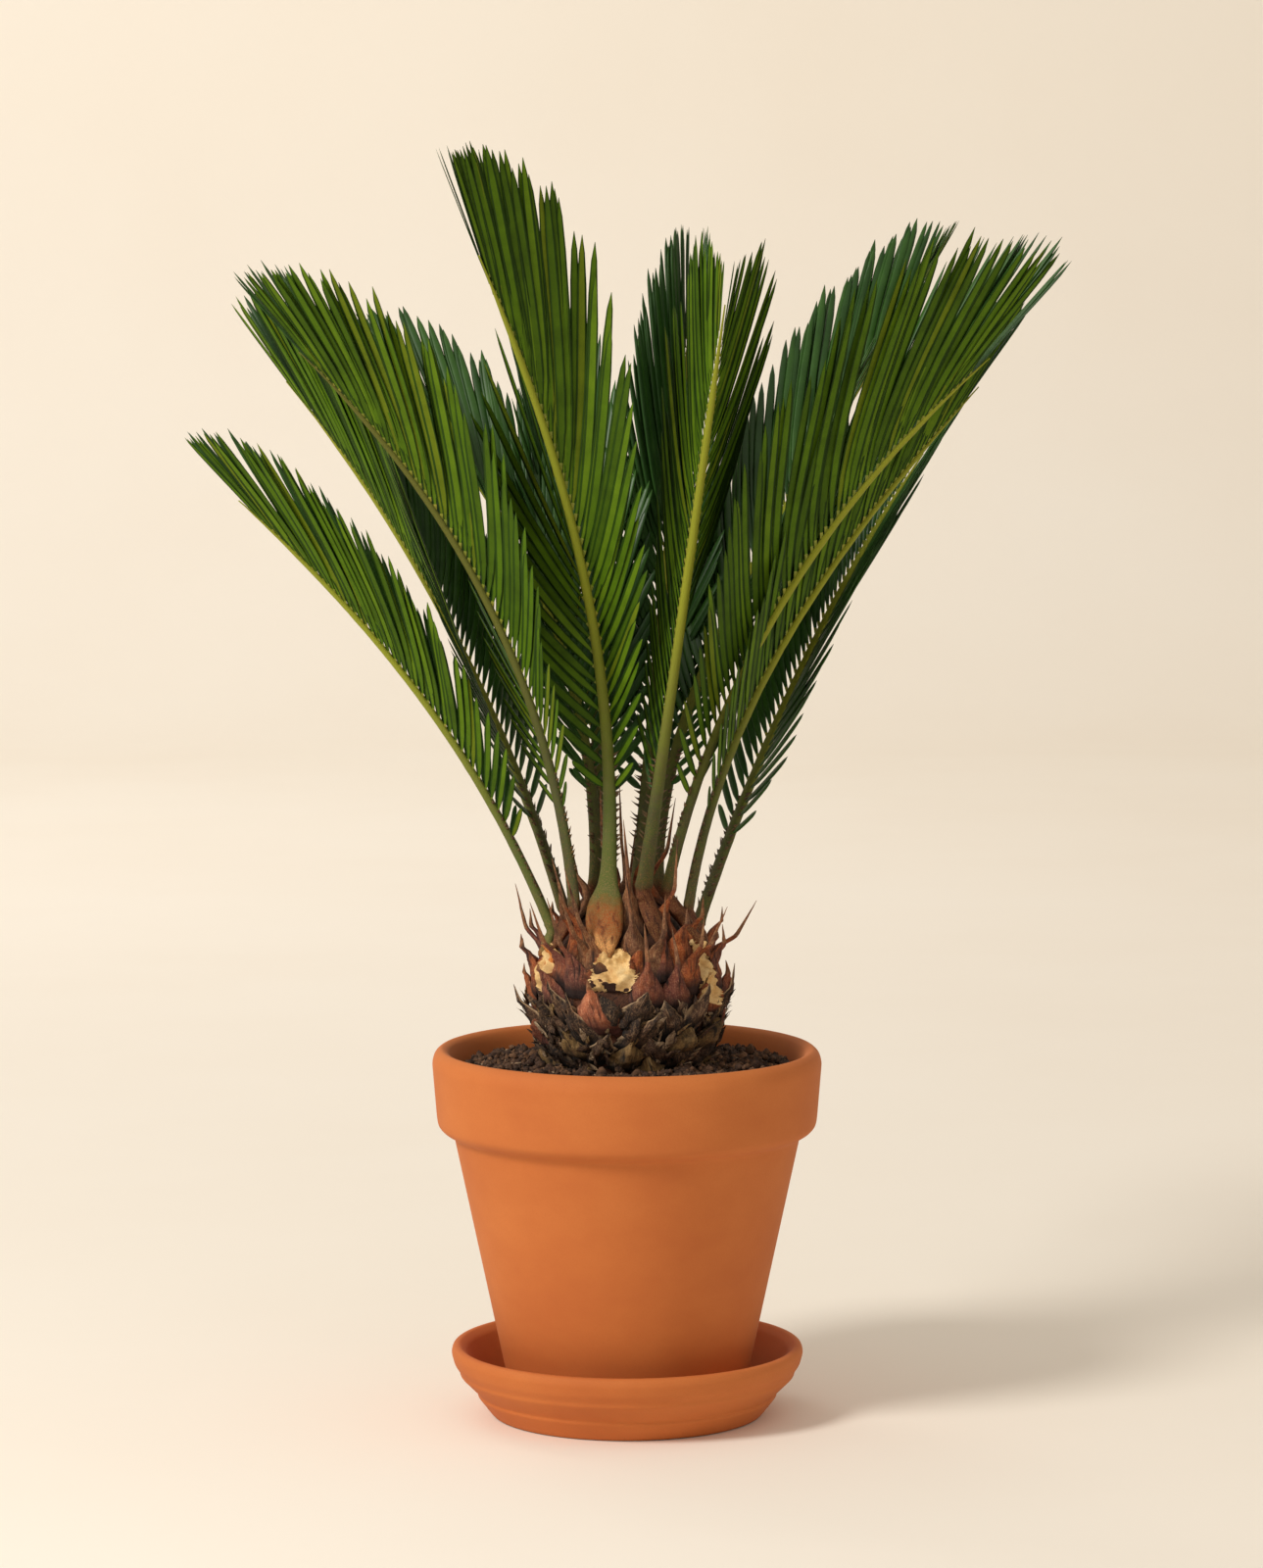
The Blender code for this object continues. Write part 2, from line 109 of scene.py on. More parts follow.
def addPiece(name, points, faces, looks, faceLooks=None, marks=None, layout=None, stands=()):
    # the mesh of these points and face arrays, faces turned outward, ridden on the plant's one body;
    # marks are numbers per point, layout is a flat (across, along) place per point
    mesh = bpy.data.meshes.new(name)
    points = np.asarray(points, float).reshape(-1, 3)
    corners = np.concatenate([part.ravel() for part in faces])
    counts = np.concatenate([np.full(len(part), part.shape[1]) for part in faces])
    mesh.vertices.add(len(points))
    mesh.vertices.foreach_set("co", points.ravel())
    mesh.loops.add(len(corners))
    mesh.loops.foreach_set("vertex_index", corners.astype(np.int32))
    mesh.polygons.add(len(counts))
    mesh.polygons.foreach_set("loop_start", (np.cumsum(counts) - counts).astype(np.int32))
    mesh.polygons.foreach_set("use_smooth", np.ones(len(counts), bool))
    for look in looks:
        mesh.materials.append(look)
    if faceLooks is not None:
        mesh.polygons.foreach_set("material_index", np.asarray(faceLooks, np.int32))
    for mark, values in (marks or {}).items():
        numbers = np.asarray(values, np.float32).ravel()
        mesh.attributes.new(mark, "FLOAT", "POINT").data.foreach_set("value", numbers)
    if layout is not None:
        flat = np.asarray(layout, np.float32).reshape(-1, 2)[corners]
        mesh.uv_layers.new(name="layout").data.foreach_set("uv", flat.ravel())
    mesh.update(calc_edges=True)
    work = bmesh.new()
    work.from_mesh(mesh)
    bmesh.ops.recalc_face_normals(work, faces=work.faces)
    work.to_mesh(mesh)
    work.free()
    piece = bpy.data.objects.new(name, mesh)
    bpy.context.scene.collection.objects.link(piece)
    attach(piece, body)
    if stands:
        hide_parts(*stands)
    return piece


def dealLooks(faces, dealt, marks=None, awl=None):
    # one material number per copy, written out for every face of that copy; awls take their own
    looks = np.concatenate([np.repeat(dealt, len(part) // len(dealt)) for part in faces])
    if awl is None:
        return looks
    first = np.concatenate([part[:, 0] for part in faces])
    return np.where(marks["rise"].ravel()[first] > 0.9, awl, looks)


def roundedProfile(corners, radius, steps=5):
    # each corner P of a closed profile becomes the curve (1-t)^2 A + 2t(1-t) P + t^2 B, where A and B
    # lie on its two sides, at most radius and two fifths of the side away from P
    corner = np.array(corners, float)
    before = np.roll(corner, 1, 0) - corner
    after = np.roll(corner, -1, 0) - corner
    lengths = [np.linalg.norm(side, axis=1, keepdims=True) for side in (before, after)]
    start = corner + before / lengths[0] * np.minimum(radius, 0.4 * lengths[0])
    end = corner + after / lengths[1] * np.minimum(radius, 0.4 * lengths[1])
    t = np.linspace(0, 1, steps)[None, :, None]
    curve = (1 - t) ** 2 * start[:, None] + 2 * t * (1 - t) * corner[:, None] + t**2 * end[:, None]
    return curve.reshape(-1, 2)


def turnedSurface(profile, steps, hand=0.0):
    # a closed profile of (radius, height) carried round Z; the hand's unevenness is a few slow waves
    turn = roundTurn(steps)[:, None]
    radius, height = profile[None, :, 0], profile[None, :, 1]
    wave = np.sin(2 * turn + 0.7 + 9 * height) + 0.6 * np.sin(3 * turn + 2.1 - 14 * height)
    radius = radius + hand * wave * np.clip(radius / 0.05, 0, 1)
    points = np.stack([radius * np.cos(turn), radius * np.sin(turn), height + 0 * turn], -1)
    cells = gridFaces(steps + 1, len(profile), wrap=True, caps=False)[0] % (steps * len(profile))
    return points, [cells]


def sineNoise(points, size, seed, waves=14):
    # a soft random field from about -1 to 1: the sum of sines along random directions, whose waves are
    # about size long
    random = np.random.RandomState(seed)
    heading = random.normal(size=(3, waves))
    heading *= random.uniform(0.7, 1.6, waves) / np.linalg.norm(heading, axis=0) * 2 * np.pi / size
    return np.sin(points @ heading + random.uniform(0, 6.28, waves)).sum(-1) / math.sqrt(waves / 2) / 2


# Materials

def newLook(name, roughness, **plain):
    # a Principled material with its plain values set on the shader's own sockets
    look = bpy.data.materials.new(name)
    look.use_nodes = True
    shader = look.node_tree.nodes["Principled BSDF"]
    shader.inputs["Roughness"].default_value = roughness
    for socket, value in plain.items():
        shader.inputs[socket.replace("_", " ")].default_value = value
    return look


def addNode(tree, kind, place, links=None, **values):
    # one node with its settings, plain socket values and links from other nodes' outputs
    node = tree.nodes.new(kind)
    node.location = place
    for key, value in values.items():
        setattr(node, key, value)
    for socket, source in (links or {}).items():
        if hasattr(source, "is_linked"):
            tree.links.new(source, node.inputs[socket])
        else:
            node.inputs[socket].default_value = source
    return node


def noiseOf(tree, place, vector, scale, detail=2.0, roughness=0.5, distortion=0.0):
    # a noise texture's value
    links = {"Vector": vector, "Scale": scale, "Detail": detail, "Roughness": roughness,
             "Distortion": distortion}
    return addNode(tree, "ShaderNodeTexNoise", place, links).outputs["Fac"]


def rampOf(tree, place, value, low, high, bottom=0.0, top=1.0):
    # a value that runs from bottom at low to top at high, and is held there outside
    links = {"Value": value, "From Min": low, "From Max": high, "To Min": bottom, "To Max": top}
    return addNode(tree, "ShaderNodeMapRange", place, links).outputs["Result"]


def mathOf(tree, place, operation, first, second, clamped=False):
    # two values added, multiplied, and so on
    return addNode(tree, "ShaderNodeMath", place, {0: first, 1: second}, operation=operation,
                   use_clamp=clamped).outputs[0]


def stretched(tree, place, vector, by):
    # a place multiplied along its three directions, which draws a noise out or squeezes it
    return addNode(tree, "ShaderNodeVectorMath", place, {0: vector, 1: by}, operation="MULTIPLY").outputs[0]


def mixOf(tree, place, factor, first, second):
    # the first colour, going over to the second with the factor
    links = {0: factor, 6: first, 7: second}
    return addNode(tree, "ShaderNodeMix", place, links, data_type="RGBA").outputs[2]


def newGroup(name, vectors, colours, numbers):
    # an empty node group with named vector, colour and number inputs, and a colour and a height that come out
    group = bpy.data.node_groups.new(name, "ShaderNodeTree")
    for kind, labels in (("Vector", vectors), ("Color", colours), ("Float", numbers)):
        for label in labels:
            group.interface.new_socket(name=label, in_out="INPUT", socket_type="NodeSocket" + kind)
    for label, kind in (("Color", "Color"), ("Height", "Float")):
        group.interface.new_socket(name=label, in_out="OUTPUT", socket_type="NodeSocket" + kind)
    start = addNode(group, "NodeGroupInput", (-1200, 0))
    end = addNode(group, "NodeGroupOutput", (600, 0))
    return group, start.outputs, end.inputs


def srgb(red, green, blue):
    # a display colour of 0 to 255 as linear light
    value = np.array((red, green, blue)) / 255
    linear = np.where(value <= 0.04045, value / 12.92, ((value + 0.055) / 1.055) ** 2.4)
    return (*map(float, linear), 1.0)


def makeMottle():
    # broad patches and fine grain between three colours; the grain is also the height
    group, given, out = newGroup("mottledEarth", ("Place", "Stretch"), ("Base", "Pale", "Deep"),
                                 ("Patch Scale", "Grain Scale", "Grain"))
    drawn = stretched(group, (-1050, 200), given["Place"], given["Stretch"])
    patch = noiseOf(group, (-900, 200), drawn, given["Patch Scale"], 4.0, 0.6)
    grain = noiseOf(group, (-900, -200), given["Place"], given["Grain Scale"])
    paler = rampOf(group, (-650, 300), patch, 0.5, 0.75)
    deeper = rampOf(group, (-650, 50), patch, 0.5, 0.25)
    speck = rampOf(group, (-650, -200), grain, 0.45, 0.7)
    share = mathOf(group, (-450, -200), "MULTIPLY", speck, given["Grain"])
    first = mixOf(group, (-350, 250), paler, given["Base"], given["Pale"])
    second = mixOf(group, (-150, 200), deeper, first, given["Deep"])
    third = mixOf(group, (100, 150), share, second, given["Deep"])
    group.links.new(third, out["Color"])
    group.links.new(grain, out["Height"])
    return group


def makeFibre():
    # fine fibres and wrinkles that run along a piece's own layout: noise drawn out along its second
    # direction, with painted shade in the wrinkles' troughs. A second colour lies in patches, pale fuzz and
    # dark blotches lie over them, painted shade darkens the foot of a scale where it goes under its
    # neighbours, and its rim takes a colour of its own
    group, given, out = newGroup("fibreFelt", ("Layout", "Place"),
                                 ("Base", "Second", "Pale", "Deep", "Rim Color"),
                                 ("Rise", "Rim", "Rim Share", "Second Share", "Fibre Scale", "Patch Scale"))
    place = given["Place"]
    drawn = stretched(group, (-1000, 100), given["Layout"], (1.0, 0.13, 1.0))
    grain = noiseOf(group, (-800, 500), place, 1050.0, 3.0, 0.8)
    fibre = noiseOf(group, (-800, 250), drawn, given["Fibre Scale"], 3.0, 0.7)
    wrinkle = noiseOf(group, (-800, 0), drawn, 420.0, 2.0, distortion=0.4)
    patch = noiseOf(group, (-800, -250), place, given["Patch Scale"], 5.0, 0.65)
    blotch = noiseOf(group, (-800, -450), place, 150.0, 4.0, 0.7)
    fuzz = rampOf(group, (-550, 500), grain, 0.50, 0.68, top=0.65)
    light = rampOf(group, (-550, 300), fibre, 0.52, 0.76)
    # painted shade: the wrinkles' troughs go over to the deep colour
    dark = rampOf(group, (-550, 50), wrinkle, 0.46, 0.30)
    other = rampOf(group, (-550, -250), patch, 0.46, 0.58)
    spot = rampOf(group, (-550, -450), blotch, 0.50, 0.68, top=0.7)
    # painted shade: the foot of a scale, where it goes under its neighbours, goes over to the deep colour
    foot = rampOf(group, (-550, -650), given["Rise"], 0.42, 0.14)
    rimEdge = rampOf(group, (-550, -850), given["Rim"], 0.72, 0.98)
    otherPart = mathOf(group, (-400, -250), "MULTIPLY", other, given["Second Share"])
    rimTorn = mathOf(group, (-400, -850), "MULTIPLY", rimEdge, blotch)
    rimPart = mathOf(group, (-250, -850), "MULTIPLY", rimTorn, given["Rim Share"], clamped=True)
    colour = mixOf(group, (-350, 300), otherPart, given["Base"], given["Second"])
    colour = mixOf(group, (-275, 400), fuzz, colour, given["Pale"])
    colour = mixOf(group, (-200, 250), light, colour, given["Pale"])
    colour = mixOf(group, (-50, 200), dark, colour, given["Deep"])
    colour = mixOf(group, (100, 150), spot, colour, given["Deep"])
    colour = mixOf(group, (250, 100), rimPart, colour, given["Rim Color"])
    colour = mixOf(group, (400, 50), foot, colour, given["Deep"])
    group.links.new(colour, out["Color"])
    group.links.new(mathOf(group, (100, -300), "ADD", wrinkle, fibre), out["Height"])
    return group


def makeWool():
    # a green stalk that goes over to its rib's colour higher up. Its foot is covered with brown wool: specks
    # that grow denser downwards, and felt below a blurred line, with another colour at its very bottom and
    # painted shade in the felt's creases
    group, given, out = newGroup("woolOverGreen", ("Place", "Layout"),
                                 ("Green", "Grey", "Rib", "Wool", "Felt", "Low", "Deep"),
                                 ("Rise", "Wool Top", "Felt Top"))
    place, rise = given["Place"], given["Rise"]
    drawn = stretched(group, (-1100, 400), given["Layout"], (1.0, 0.2, 1.0))
    wrinkle = noiseOf(group, (-900, 400), drawn, 700.0, 4.0, 0.7, 0.5)
    fine = noiseOf(group, (-900, 200), place, 1900.0, 2.0, 0.8)
    broad = noiseOf(group, (-900, -100), place, 170.0, 4.0, 0.7)
    greyer = rampOf(group, (-650, -100), broad, 0.40, 0.62)
    ribbed = rampOf(group, (-450, 700), rise, 0.05, 0.17)
    high = mathOf(group, (-650, -350), "DIVIDE", rise, given["Wool Top"])
    woolly = rampOf(group, (-450, -350), high, -0.4, 1.4, 0.14, -0.07)
    grain = mathOf(group, (-450, 200), "ADD", fine, woolly)
    speck = rampOf(group, (-250, 200), grain, 0.60, 0.74)
    above = mathOf(group, (-650, -600), "SUBTRACT", rise, given["Felt Top"])
    wave = rampOf(group, (-650, -800), broad, 0.3, 0.7, -0.005, 0.005)
    blurred = mathOf(group, (-450, -600), "ADD", above, wave)
    felted = rampOf(group, (-250, -600), blurred, 0.006, -0.006)
    lowest = rampOf(group, (-250, -850), blurred, -0.013, -0.022)
    # painted shade: the felt's creases, the troughs of its wrinkles, go over to the deep colour
    creased = rampOf(group, (-650, 450), wrinkle, 0.50, 0.34)
    creaseShade = mathOf(group, (-450, 450), "MULTIPLY", creased, felted)
    stalk = mixOf(group, (-250, 400), greyer, given["Green"], given["Grey"])
    stalk = mixOf(group, (-100, 300), ribbed, stalk, given["Rib"])
    felt = mixOf(group, (-100, 0), lowest, given["Felt"], given["Low"])
    colour = mixOf(group, (100, 150), felted, stalk, felt)
    colour = mixOf(group, (250, 120), speck, colour, given["Wool"])
    colour = mixOf(group, (400, 100), creaseShade, colour, given["Deep"])
    group.links.new(colour, out["Color"])
    group.links.new(mathOf(group, (100, -300), "ADD", wrinkle, fine), out["Height"])
    return group


mottledEarth = makeMottle()
fibreFelt = makeFibre()
woolOverGreen = makeWool()


def groupedLook(name, group, values, roughness, bump, depth, **plain):
    # a material whose colour and fine relief come from one of the groups above. The group is fed with the
    # object's place, the piece's own layout, and the marks rise and rim where it has those sockets
    look = newLook(name, roughness, **plain)
    tree = look.node_tree
    shader = tree.nodes["Principled BSDF"]
    where = addNode(tree, "ShaderNodeTexCoord", (-900, 0))
    made = addNode(tree, "ShaderNodeGroup", (-600, 0), node_tree=group)
    for socket, output in (("Place", "Object"), ("Layout", "UV")):
        if socket in made.inputs:
            tree.links.new(where.outputs[output], made.inputs[socket])
    for socket, mark in (("Rise", "rise"), ("Rim", "rim")):
        if socket in made.inputs:
            reader = addNode(tree, "ShaderNodeAttribute", (-900, -300), attribute_name=mark)
            tree.links.new(reader.outputs["Fac"], made.inputs[socket])
    for socket, value in values.items():
        isColour = made.inputs[socket].type == "RGBA"
        made.inputs[socket].default_value = srgb(*value) if isColour else value
    links = {"Height": made.outputs["Height"], "Strength": bump, "Distance": depth}
    relief = addNode(tree, "ShaderNodeBump", (-300, -200), links)
    tree.links.new(made.outputs["Color"], shader.inputs["Base Color"])
    tree.links.new(relief.outputs["Normal"], shader.inputs["Normal"])
    return look


def earthLook(name, base, pale, deep, patch, grain, amount, roughness, bump, depth, drawn=1.0, **plain):
    # clay, soil, paper and leaf skin. drawn squeezes the patches in height: above 1 they lie in level streaks
    values = {"Base": base, "Pale": pale, "Deep": deep, "Patch Scale": patch, "Grain Scale": grain,
              "Grain": amount, "Stretch": (1.0, 1.0, drawn)}
    return groupedLook(name, mottledEarth, values, roughness, bump, depth, **plain)


def feltLook(name, base, second, pale, deep, rim, rimShare=0.6, fibre=1500.0, patch=55.0):
    # dry, felted or papery scales
    # deep is the colour of the dark blotches and also of the painted shade in the wrinkles and at the scales'
    # feet
    values = {"Base": base, "Second": second, "Pale": pale, "Deep": deep, "Rim Color": rim,
              "Rim Share": rimShare, "Second Share": 0.8, "Fibre Scale": fibre, "Patch Scale": patch}
    return groupedLook(name, fibreFelt, values, 0.9, 0.8, 0.0008)


def woolLook(name, green, grey, rib, wool, felt, low, deep, woolTop, feltTop):
    # leaf stalks and ribs
    # deep is the colour of the painted shade in the felt's creases
    values = {"Green": green, "Grey": grey, "Rib": rib, "Wool": wool, "Felt": felt, "Low": low, "Deep": deep,
              "Wool Top": woolTop, "Felt Top": feltTop}
    return groupedLook(name, woolOverGreen, values, 0.7, 0.7, 0.0006, Specular_IOR_Level=0.3)


# Pot and saucer

pot = dict(
    foot=0.0090, floor=0.0180, drainRadius=0.010, baseRadius=0.0660, bodyRadius=0.0978, wall=0.0065,
    rimFoot=0.1618, rimTop=0.2094, corner=0.003, hand=0.0002, steps=192,
    band=((0.1036, 0.0006), (0.1066, 0.0038), (0.1074, 0.0080)),  # radius, height over the rim's foot
    lip=((0.1096, 0.0130), (0.1100, 0.0080), (0.1086, 0.0030), (0.1050, 0.0),
         (0.1012, 0.0018), (0.0990, 0.0060)),  # radius, depth under the rim's top
    inside=((0.0615, 0.0060), (0.0545, 0.0)),  # radius, height over the floor
)
# the saucer's corners: radius and height
saucer = dict(
    outside=((0.0762, 0.0), (0.0777, 0.0015), (0.0850, 0.0108), (0.0846, 0.0125), (0.0882, 0.0160),
             (0.0948, 0.0225), (0.0952, 0.0249), (0.0980, 0.0290), (0.0998, 0.0355), (0.0986, 0.0393),
             (0.0953, 0.0399)),
    inside=((0.0913, 0.0363), (0.0790, 0.0130), (0.0750, 0.0087)),
    corner=0.0016,
)

terracotta = earthLook("terracotta", (196, 109, 48), (204, 118, 55), (187, 99, 42), 10.0, 1100.0, 0.22, 0.8,
                       0.25, 0.0004, drawn=1.6)


def makePot():
    # the wall's closed profile, its corners rounded, carried once round
    foot, floor, rimFoot, rimTop = pot["foot"], pot["floor"], pot["rimFoot"], pot["rimTop"]
    profile = [(pot["drainRadius"], foot), (pot["baseRadius"] - 0.002, foot),
               (pot["baseRadius"], foot + 0.002), (pot["bodyRadius"], rimFoot - 0.0020)]
    profile += [(radius, rimFoot + rise) for radius, rise in pot["band"]]
    profile += [(radius, rimTop - drop) for radius, drop in pot["lip"]]
    profile += [(0.0960, rimFoot + 0.0300), (pot["bodyRadius"] - pot["wall"], rimFoot)]
    profile += [(radius, floor + rise) for radius, rise in pot["inside"]]
    profile += [(pot["drainRadius"], floor)]
    points, faces = turnedSurface(roundedProfile(profile, pot["corner"]), pot["steps"], pot["hand"])
    addPiece("clayPot", points, faces, [terracotta], stands=["pot"])


def makeSaucer():
    # a low dish with a rolled rim and turned grooves; a disc closes its underside and its floor
    profile = roundedProfile(saucer["outside"] + saucer["inside"], saucer["corner"])
    profile = np.vstack([(pole, 0.0), profile, (pole, saucer["inside"][-1][1])])
    points, faces = turnedSurface(profile, pot["steps"], pot["hand"])
    # the strip that would join floor and underside at the axis is left out, and two faces close the holes
    cells = faces[0][np.arange(len(faces[0])) % len(profile) != len(profile) - 1]
    rings = np.arange(pot["steps"]) * len(profile)
    discs = np.stack([rings, rings + len(profile) - 1])
    addPiece("claySaucer", points, [cells, discs], [terracotta], stands=["saucer"])


makePot()
makeSaucer()
print("pot and saucer turned")


# Soil

soil = dict(
    level=0.1987, seat=0.040, edge=0.0948, steps=260, lump=0.0024, fineLump=0.0012,
    mound=((0, 0), (0.047, 0), (0.0495, 0.0022), (0.062, 0.0016), (0.076, 0.0004), (0.088, -0.0008),
           (0.0948, -0.0022)),  # radius, height over the level
    wall=((0.0945, 0.1880), (0.0907, 0.1600), (0.0608, 0.0242), (0.0540, 0.0183), (pole, 0.0183)),
    crumbs=4200, crumbRadius=(0.047, 0.0925), crumbSize=(0.0006, 0.0019), clods=0.09, clodScale=1.9,
    nearTrunk=0.25, nearRadius=(0.047, 0.058), flecks=120, fleckRadius=(0.050, 0.088),
    fleckSize=(0.0007, 0.0016),
)

earthDark = earthLook("soilDark", (70, 47, 33), (128, 94, 68), (18, 11, 7), 160.0, 1400.0, 0.6, 0.95,
                      0.9, 0.0008)
earthBrown = earthLook("soilBrown", (106, 74, 50), (150, 112, 80), (44, 29, 19), 220.0, 1600.0, 0.5, 0.95,
                       0.8, 0.0006)
earthFleck = earthLook("soilFleck", (170, 142, 112), (196, 172, 142), (110, 84, 62), 300.0, 1500.0, 0.4, 0.9,
                       0.5, 0.0004)


def soilHeight(x, y):
    # the mound's height at a radius, plus coarse and fine lumps outside the trunk's seat
    radius = np.hypot(x, y)
    mound = curveAt(radius, soil["mound"])
    flat = np.stack([x, y, 0 * x], -1)
    lumps = soil["lump"] * sineNoise(flat, 0.016, 4) + soil["fineLump"] * sineNoise(flat, 0.005, 5)
    return soil["level"] + mound + lumps * easeInOut((radius - 0.043) / 0.008)


def roundLumps(centre, size, squash, spin, seed, rings=4, sides=6):
    # many small lumps: a ball of a few rings, each point pushed in or out at random, turned about Z
    random = np.random.RandomState(seed)
    count = len(centre)
    lat = np.linspace(-0.42, 0.42, rings)[:, None] * np.pi
    turn = roundTurn(sides)
    ball = np.stack([np.cos(lat) * np.cos(turn), np.cos(lat) * np.sin(turn), np.sin(lat) + 0 * turn], -1)
    ball = ball[None] * random.uniform(0.62, 1.25, (count, rings, sides, 1)) * size[:, None, None, :]
    cosine, sine = np.cos(spin)[:, None, None], np.sin(spin)[:, None, None]
    x = ball[..., 0] * cosine - ball[..., 1] * sine
    y = ball[..., 0] * sine + ball[..., 1] * cosine
    points = np.stack([x, y, ball[..., 2] * squash], -1) + centre[:, None, None]
    return points, gridFaces(rings, sides, count)


def makeSoil():
    # the bed: a fine polar grid of soilHeight, closed by the pot's inner wall and floor
    radii = np.concatenate([[pole], np.linspace(soil["seat"], soil["edge"], 46)])[:, None]
    turn = roundTurn(soil["steps"])
    x, y = radii * np.cos(turn), radii * np.sin(turn)
    top = np.stack([x, y, soilHeight(x, y)], -1)
    wall = np.array(soil["wall"])
    down = np.stack([wall[:, :1] * np.cos(turn), wall[:, :1] * np.sin(turn), wall[:, 1:] + 0 * turn], -1)
    points = np.concatenate([top, down])
    faces = gridFaces(len(points), soil["steps"])
    addPiece("soilBed", points, faces, [earthDark], stands=["soil"])

    # crumbs, more of them beside the trunk, and a share of larger clods
    random = np.random.RandomState(11)
    count = soil["crumbs"]
    inner, outer = soil["crumbRadius"]
    radius = np.sqrt(random.uniform(inner**2, outer**2, count))
    near = random.uniform(size=count) < soil["nearTrunk"]
    radius[near] = random.uniform(*soil["nearRadius"], near.sum())
    turn = random.uniform(0, 2 * np.pi, count)
    x, y = radius * np.cos(turn), radius * np.sin(turn)
    size = random.uniform(*soil["crumbSize"], (count, 1)) * random.uniform(0.7, 1.3, (count, 3))
    size[random.uniform(size=count) < soil["clods"]] *= soil["clodScale"]
    centre = np.stack([x, y, soilHeight(x, y) + size[:, 2] * 0.35], -1)
    points, faces = roundLumps(centre, size, 0.8, random.uniform(0, 6.28, count), 12)
    looks = dealLooks(faces, random.choice((0, 0, 1), count))
    addPiece("soilCrumbs", points, faces, [earthDark, earthBrown], looks)

    # long pale flecks of bark and fibre
    count = soil["flecks"]
    radius = random.uniform(*soil["fleckRadius"], count)
    turn = random.uniform(0, 2 * np.pi, count)
    x, y = radius * np.cos(turn), radius * np.sin(turn)
    size = random.uniform(*soil["fleckSize"], (count, 1)) * np.array((1.9, 0.8, 0.45))
    centre = np.stack([x, y, soilHeight(x, y) + 0.0008], -1)
    points, faces = roundLumps(centre, size, 0.7, random.uniform(0, 6.28, count), 13)
    addPiece("soilFlecks", points, faces, [earthFleck])


makeSoil()
print("soil filled")


# Trunk

# the side, from the soil up over the barrel and across the domed crown: radius and height
side = np.array((
    (0.0440, 0.1950), (0.0475, 0.2010), (0.0535, 0.2120), (0.0580, 0.2280), (0.0590, 0.2420),
    (0.0560, 0.2545), (0.0500, 0.2635), (0.0450, 0.2716), (0.0400, 0.2788), (0.0340, 0.2863),
    (0.0280, 0.2927), (0.0210, 0.2985), (0.0140, 0.3027), (0.0070, 0.3052), (pole, 0.3060),
))
sideRun = np.concatenate([[0], np.cumsum(np.linalg.norm(np.diff(side, axis=0), axis=1))])
trunk = dict(crownTop=0.306, crownFall=17.0, domeFrom=6, domeRadius=0.0495, samples=400, soften=12,
             sunk=0.0074, coreRings=60, coreSteps=96)

feltPurple = feltLook("feltPurple", (104, 53, 43), (134, 68, 36), (178, 124, 92), (36, 18, 14), (66, 46, 40))
feltRust = feltLook("feltRust", (146, 69, 27), (108, 52, 32), (200, 130, 74), (50, 24, 12), (84, 54, 36))
feltTan = feltLook("feltTan", (196, 112, 42), (156, 78, 30), (230, 176, 108), (104, 56, 24), (126, 80, 42))
feltSalmon = feltLook("feltSalmon", (180, 102, 68), (140, 72, 50), (226, 164, 122), (76, 38, 28),
                      (84, 58, 48), fibre=1200.0)
feltDark = feltLook("feltDark", (74, 42, 28), (96, 50, 28), (130, 84, 54), (26, 16, 12), (110, 80, 60))
awlGrey = feltLook("awlGrey", (124, 74, 42), (98, 60, 42), (182, 140, 96), (50, 29, 18), (150, 116, 82))
scaleOld = feltLook("scaleOld", (34, 23, 18), (72, 46, 30), (158, 124, 90), (10, 7, 6), (196, 164, 126),
                    rimShare=1.8, fibre=1000.0)
scaleOlive = feltLook("scaleOlive", (122, 94, 52), (84, 60, 38), (170, 138, 90), (28, 20, 13), (64, 50, 38),
                      fibre=900.0, patch=90.0)
paperPale = feltLook("paperPale", (156, 130, 100), (110, 86, 64), (214, 190, 156), (70, 52, 40),
                     (196, 172, 140), fibre=900.0)
cutCream = earthLook("cutCream", (226, 190, 128), (240, 212, 158), (186, 138, 82), 90.0, 900.0, 0.35, 0.8,
                     0.4, 0.0006)


def crownHeight(radius):
    # the dome: its top less the fall times the radius squared
    return trunk["crownTop"] - trunk["crownFall"] * radius**2


def runAtRadius(radius):
    # distance along the trunk's side to the place on the dome with this radius
    radius = min(radius, trunk["domeRadius"])
    return np.interp(-radius, -side[trunk["domeFrom"]:, 0], sideRun[trunk["domeFrom"]:])


def onTrunk(run):
    # radius, height and upward direction (radius, height) of the trunk's side at a distance along it from the
    # soil. The side is softened by the running mean of its samples
    fine = np.linspace(0, sideRun[-1], trunk["samples"])
    line = np.stack([np.interp(fine, sideRun, side[:, k]) for k in range(2)], 1)
    reach = trunk["soften"]
    line = np.pad(line, ((reach, reach), (0, 0)), mode="reflect", reflect_type="odd")
    mean = np.ones(2 * reach + 1) / (2 * reach + 1)
    soft = np.stack([np.convolve(line[:, k], mean, "valid") for k in range(2)], 1)
    slope = unit(np.gradient(soft, axis=0))
    radius, height = (np.interp(run, fine, soft[:, k]) for k in range(2))
    along = np.stack([np.interp(run, fine, slope[:, k]) for k in range(2)], -1)
    return radius, height, along


def onTrunkPlaces(azimuth, run, sunk=0.0):
    # points on the trunk's side with the directions outward, sideways and up along it
    radius, height, along = onTrunk(run)
    turn = np.radians(azimuth)
    out = np.stack([np.cos(turn), np.sin(turn), 0 * turn], -1)
    around = np.stack([-np.sin(turn), np.cos(turn), 0 * turn], -1)
    normal = out * along[:, 1:] - upward * along[:, :1]
    rising = out * along[:, :1] + upward * along[:, 1:]
    place = out * radius[:, None] + upward * height[:, None] - normal * sunk
    return place, normal, around, rising


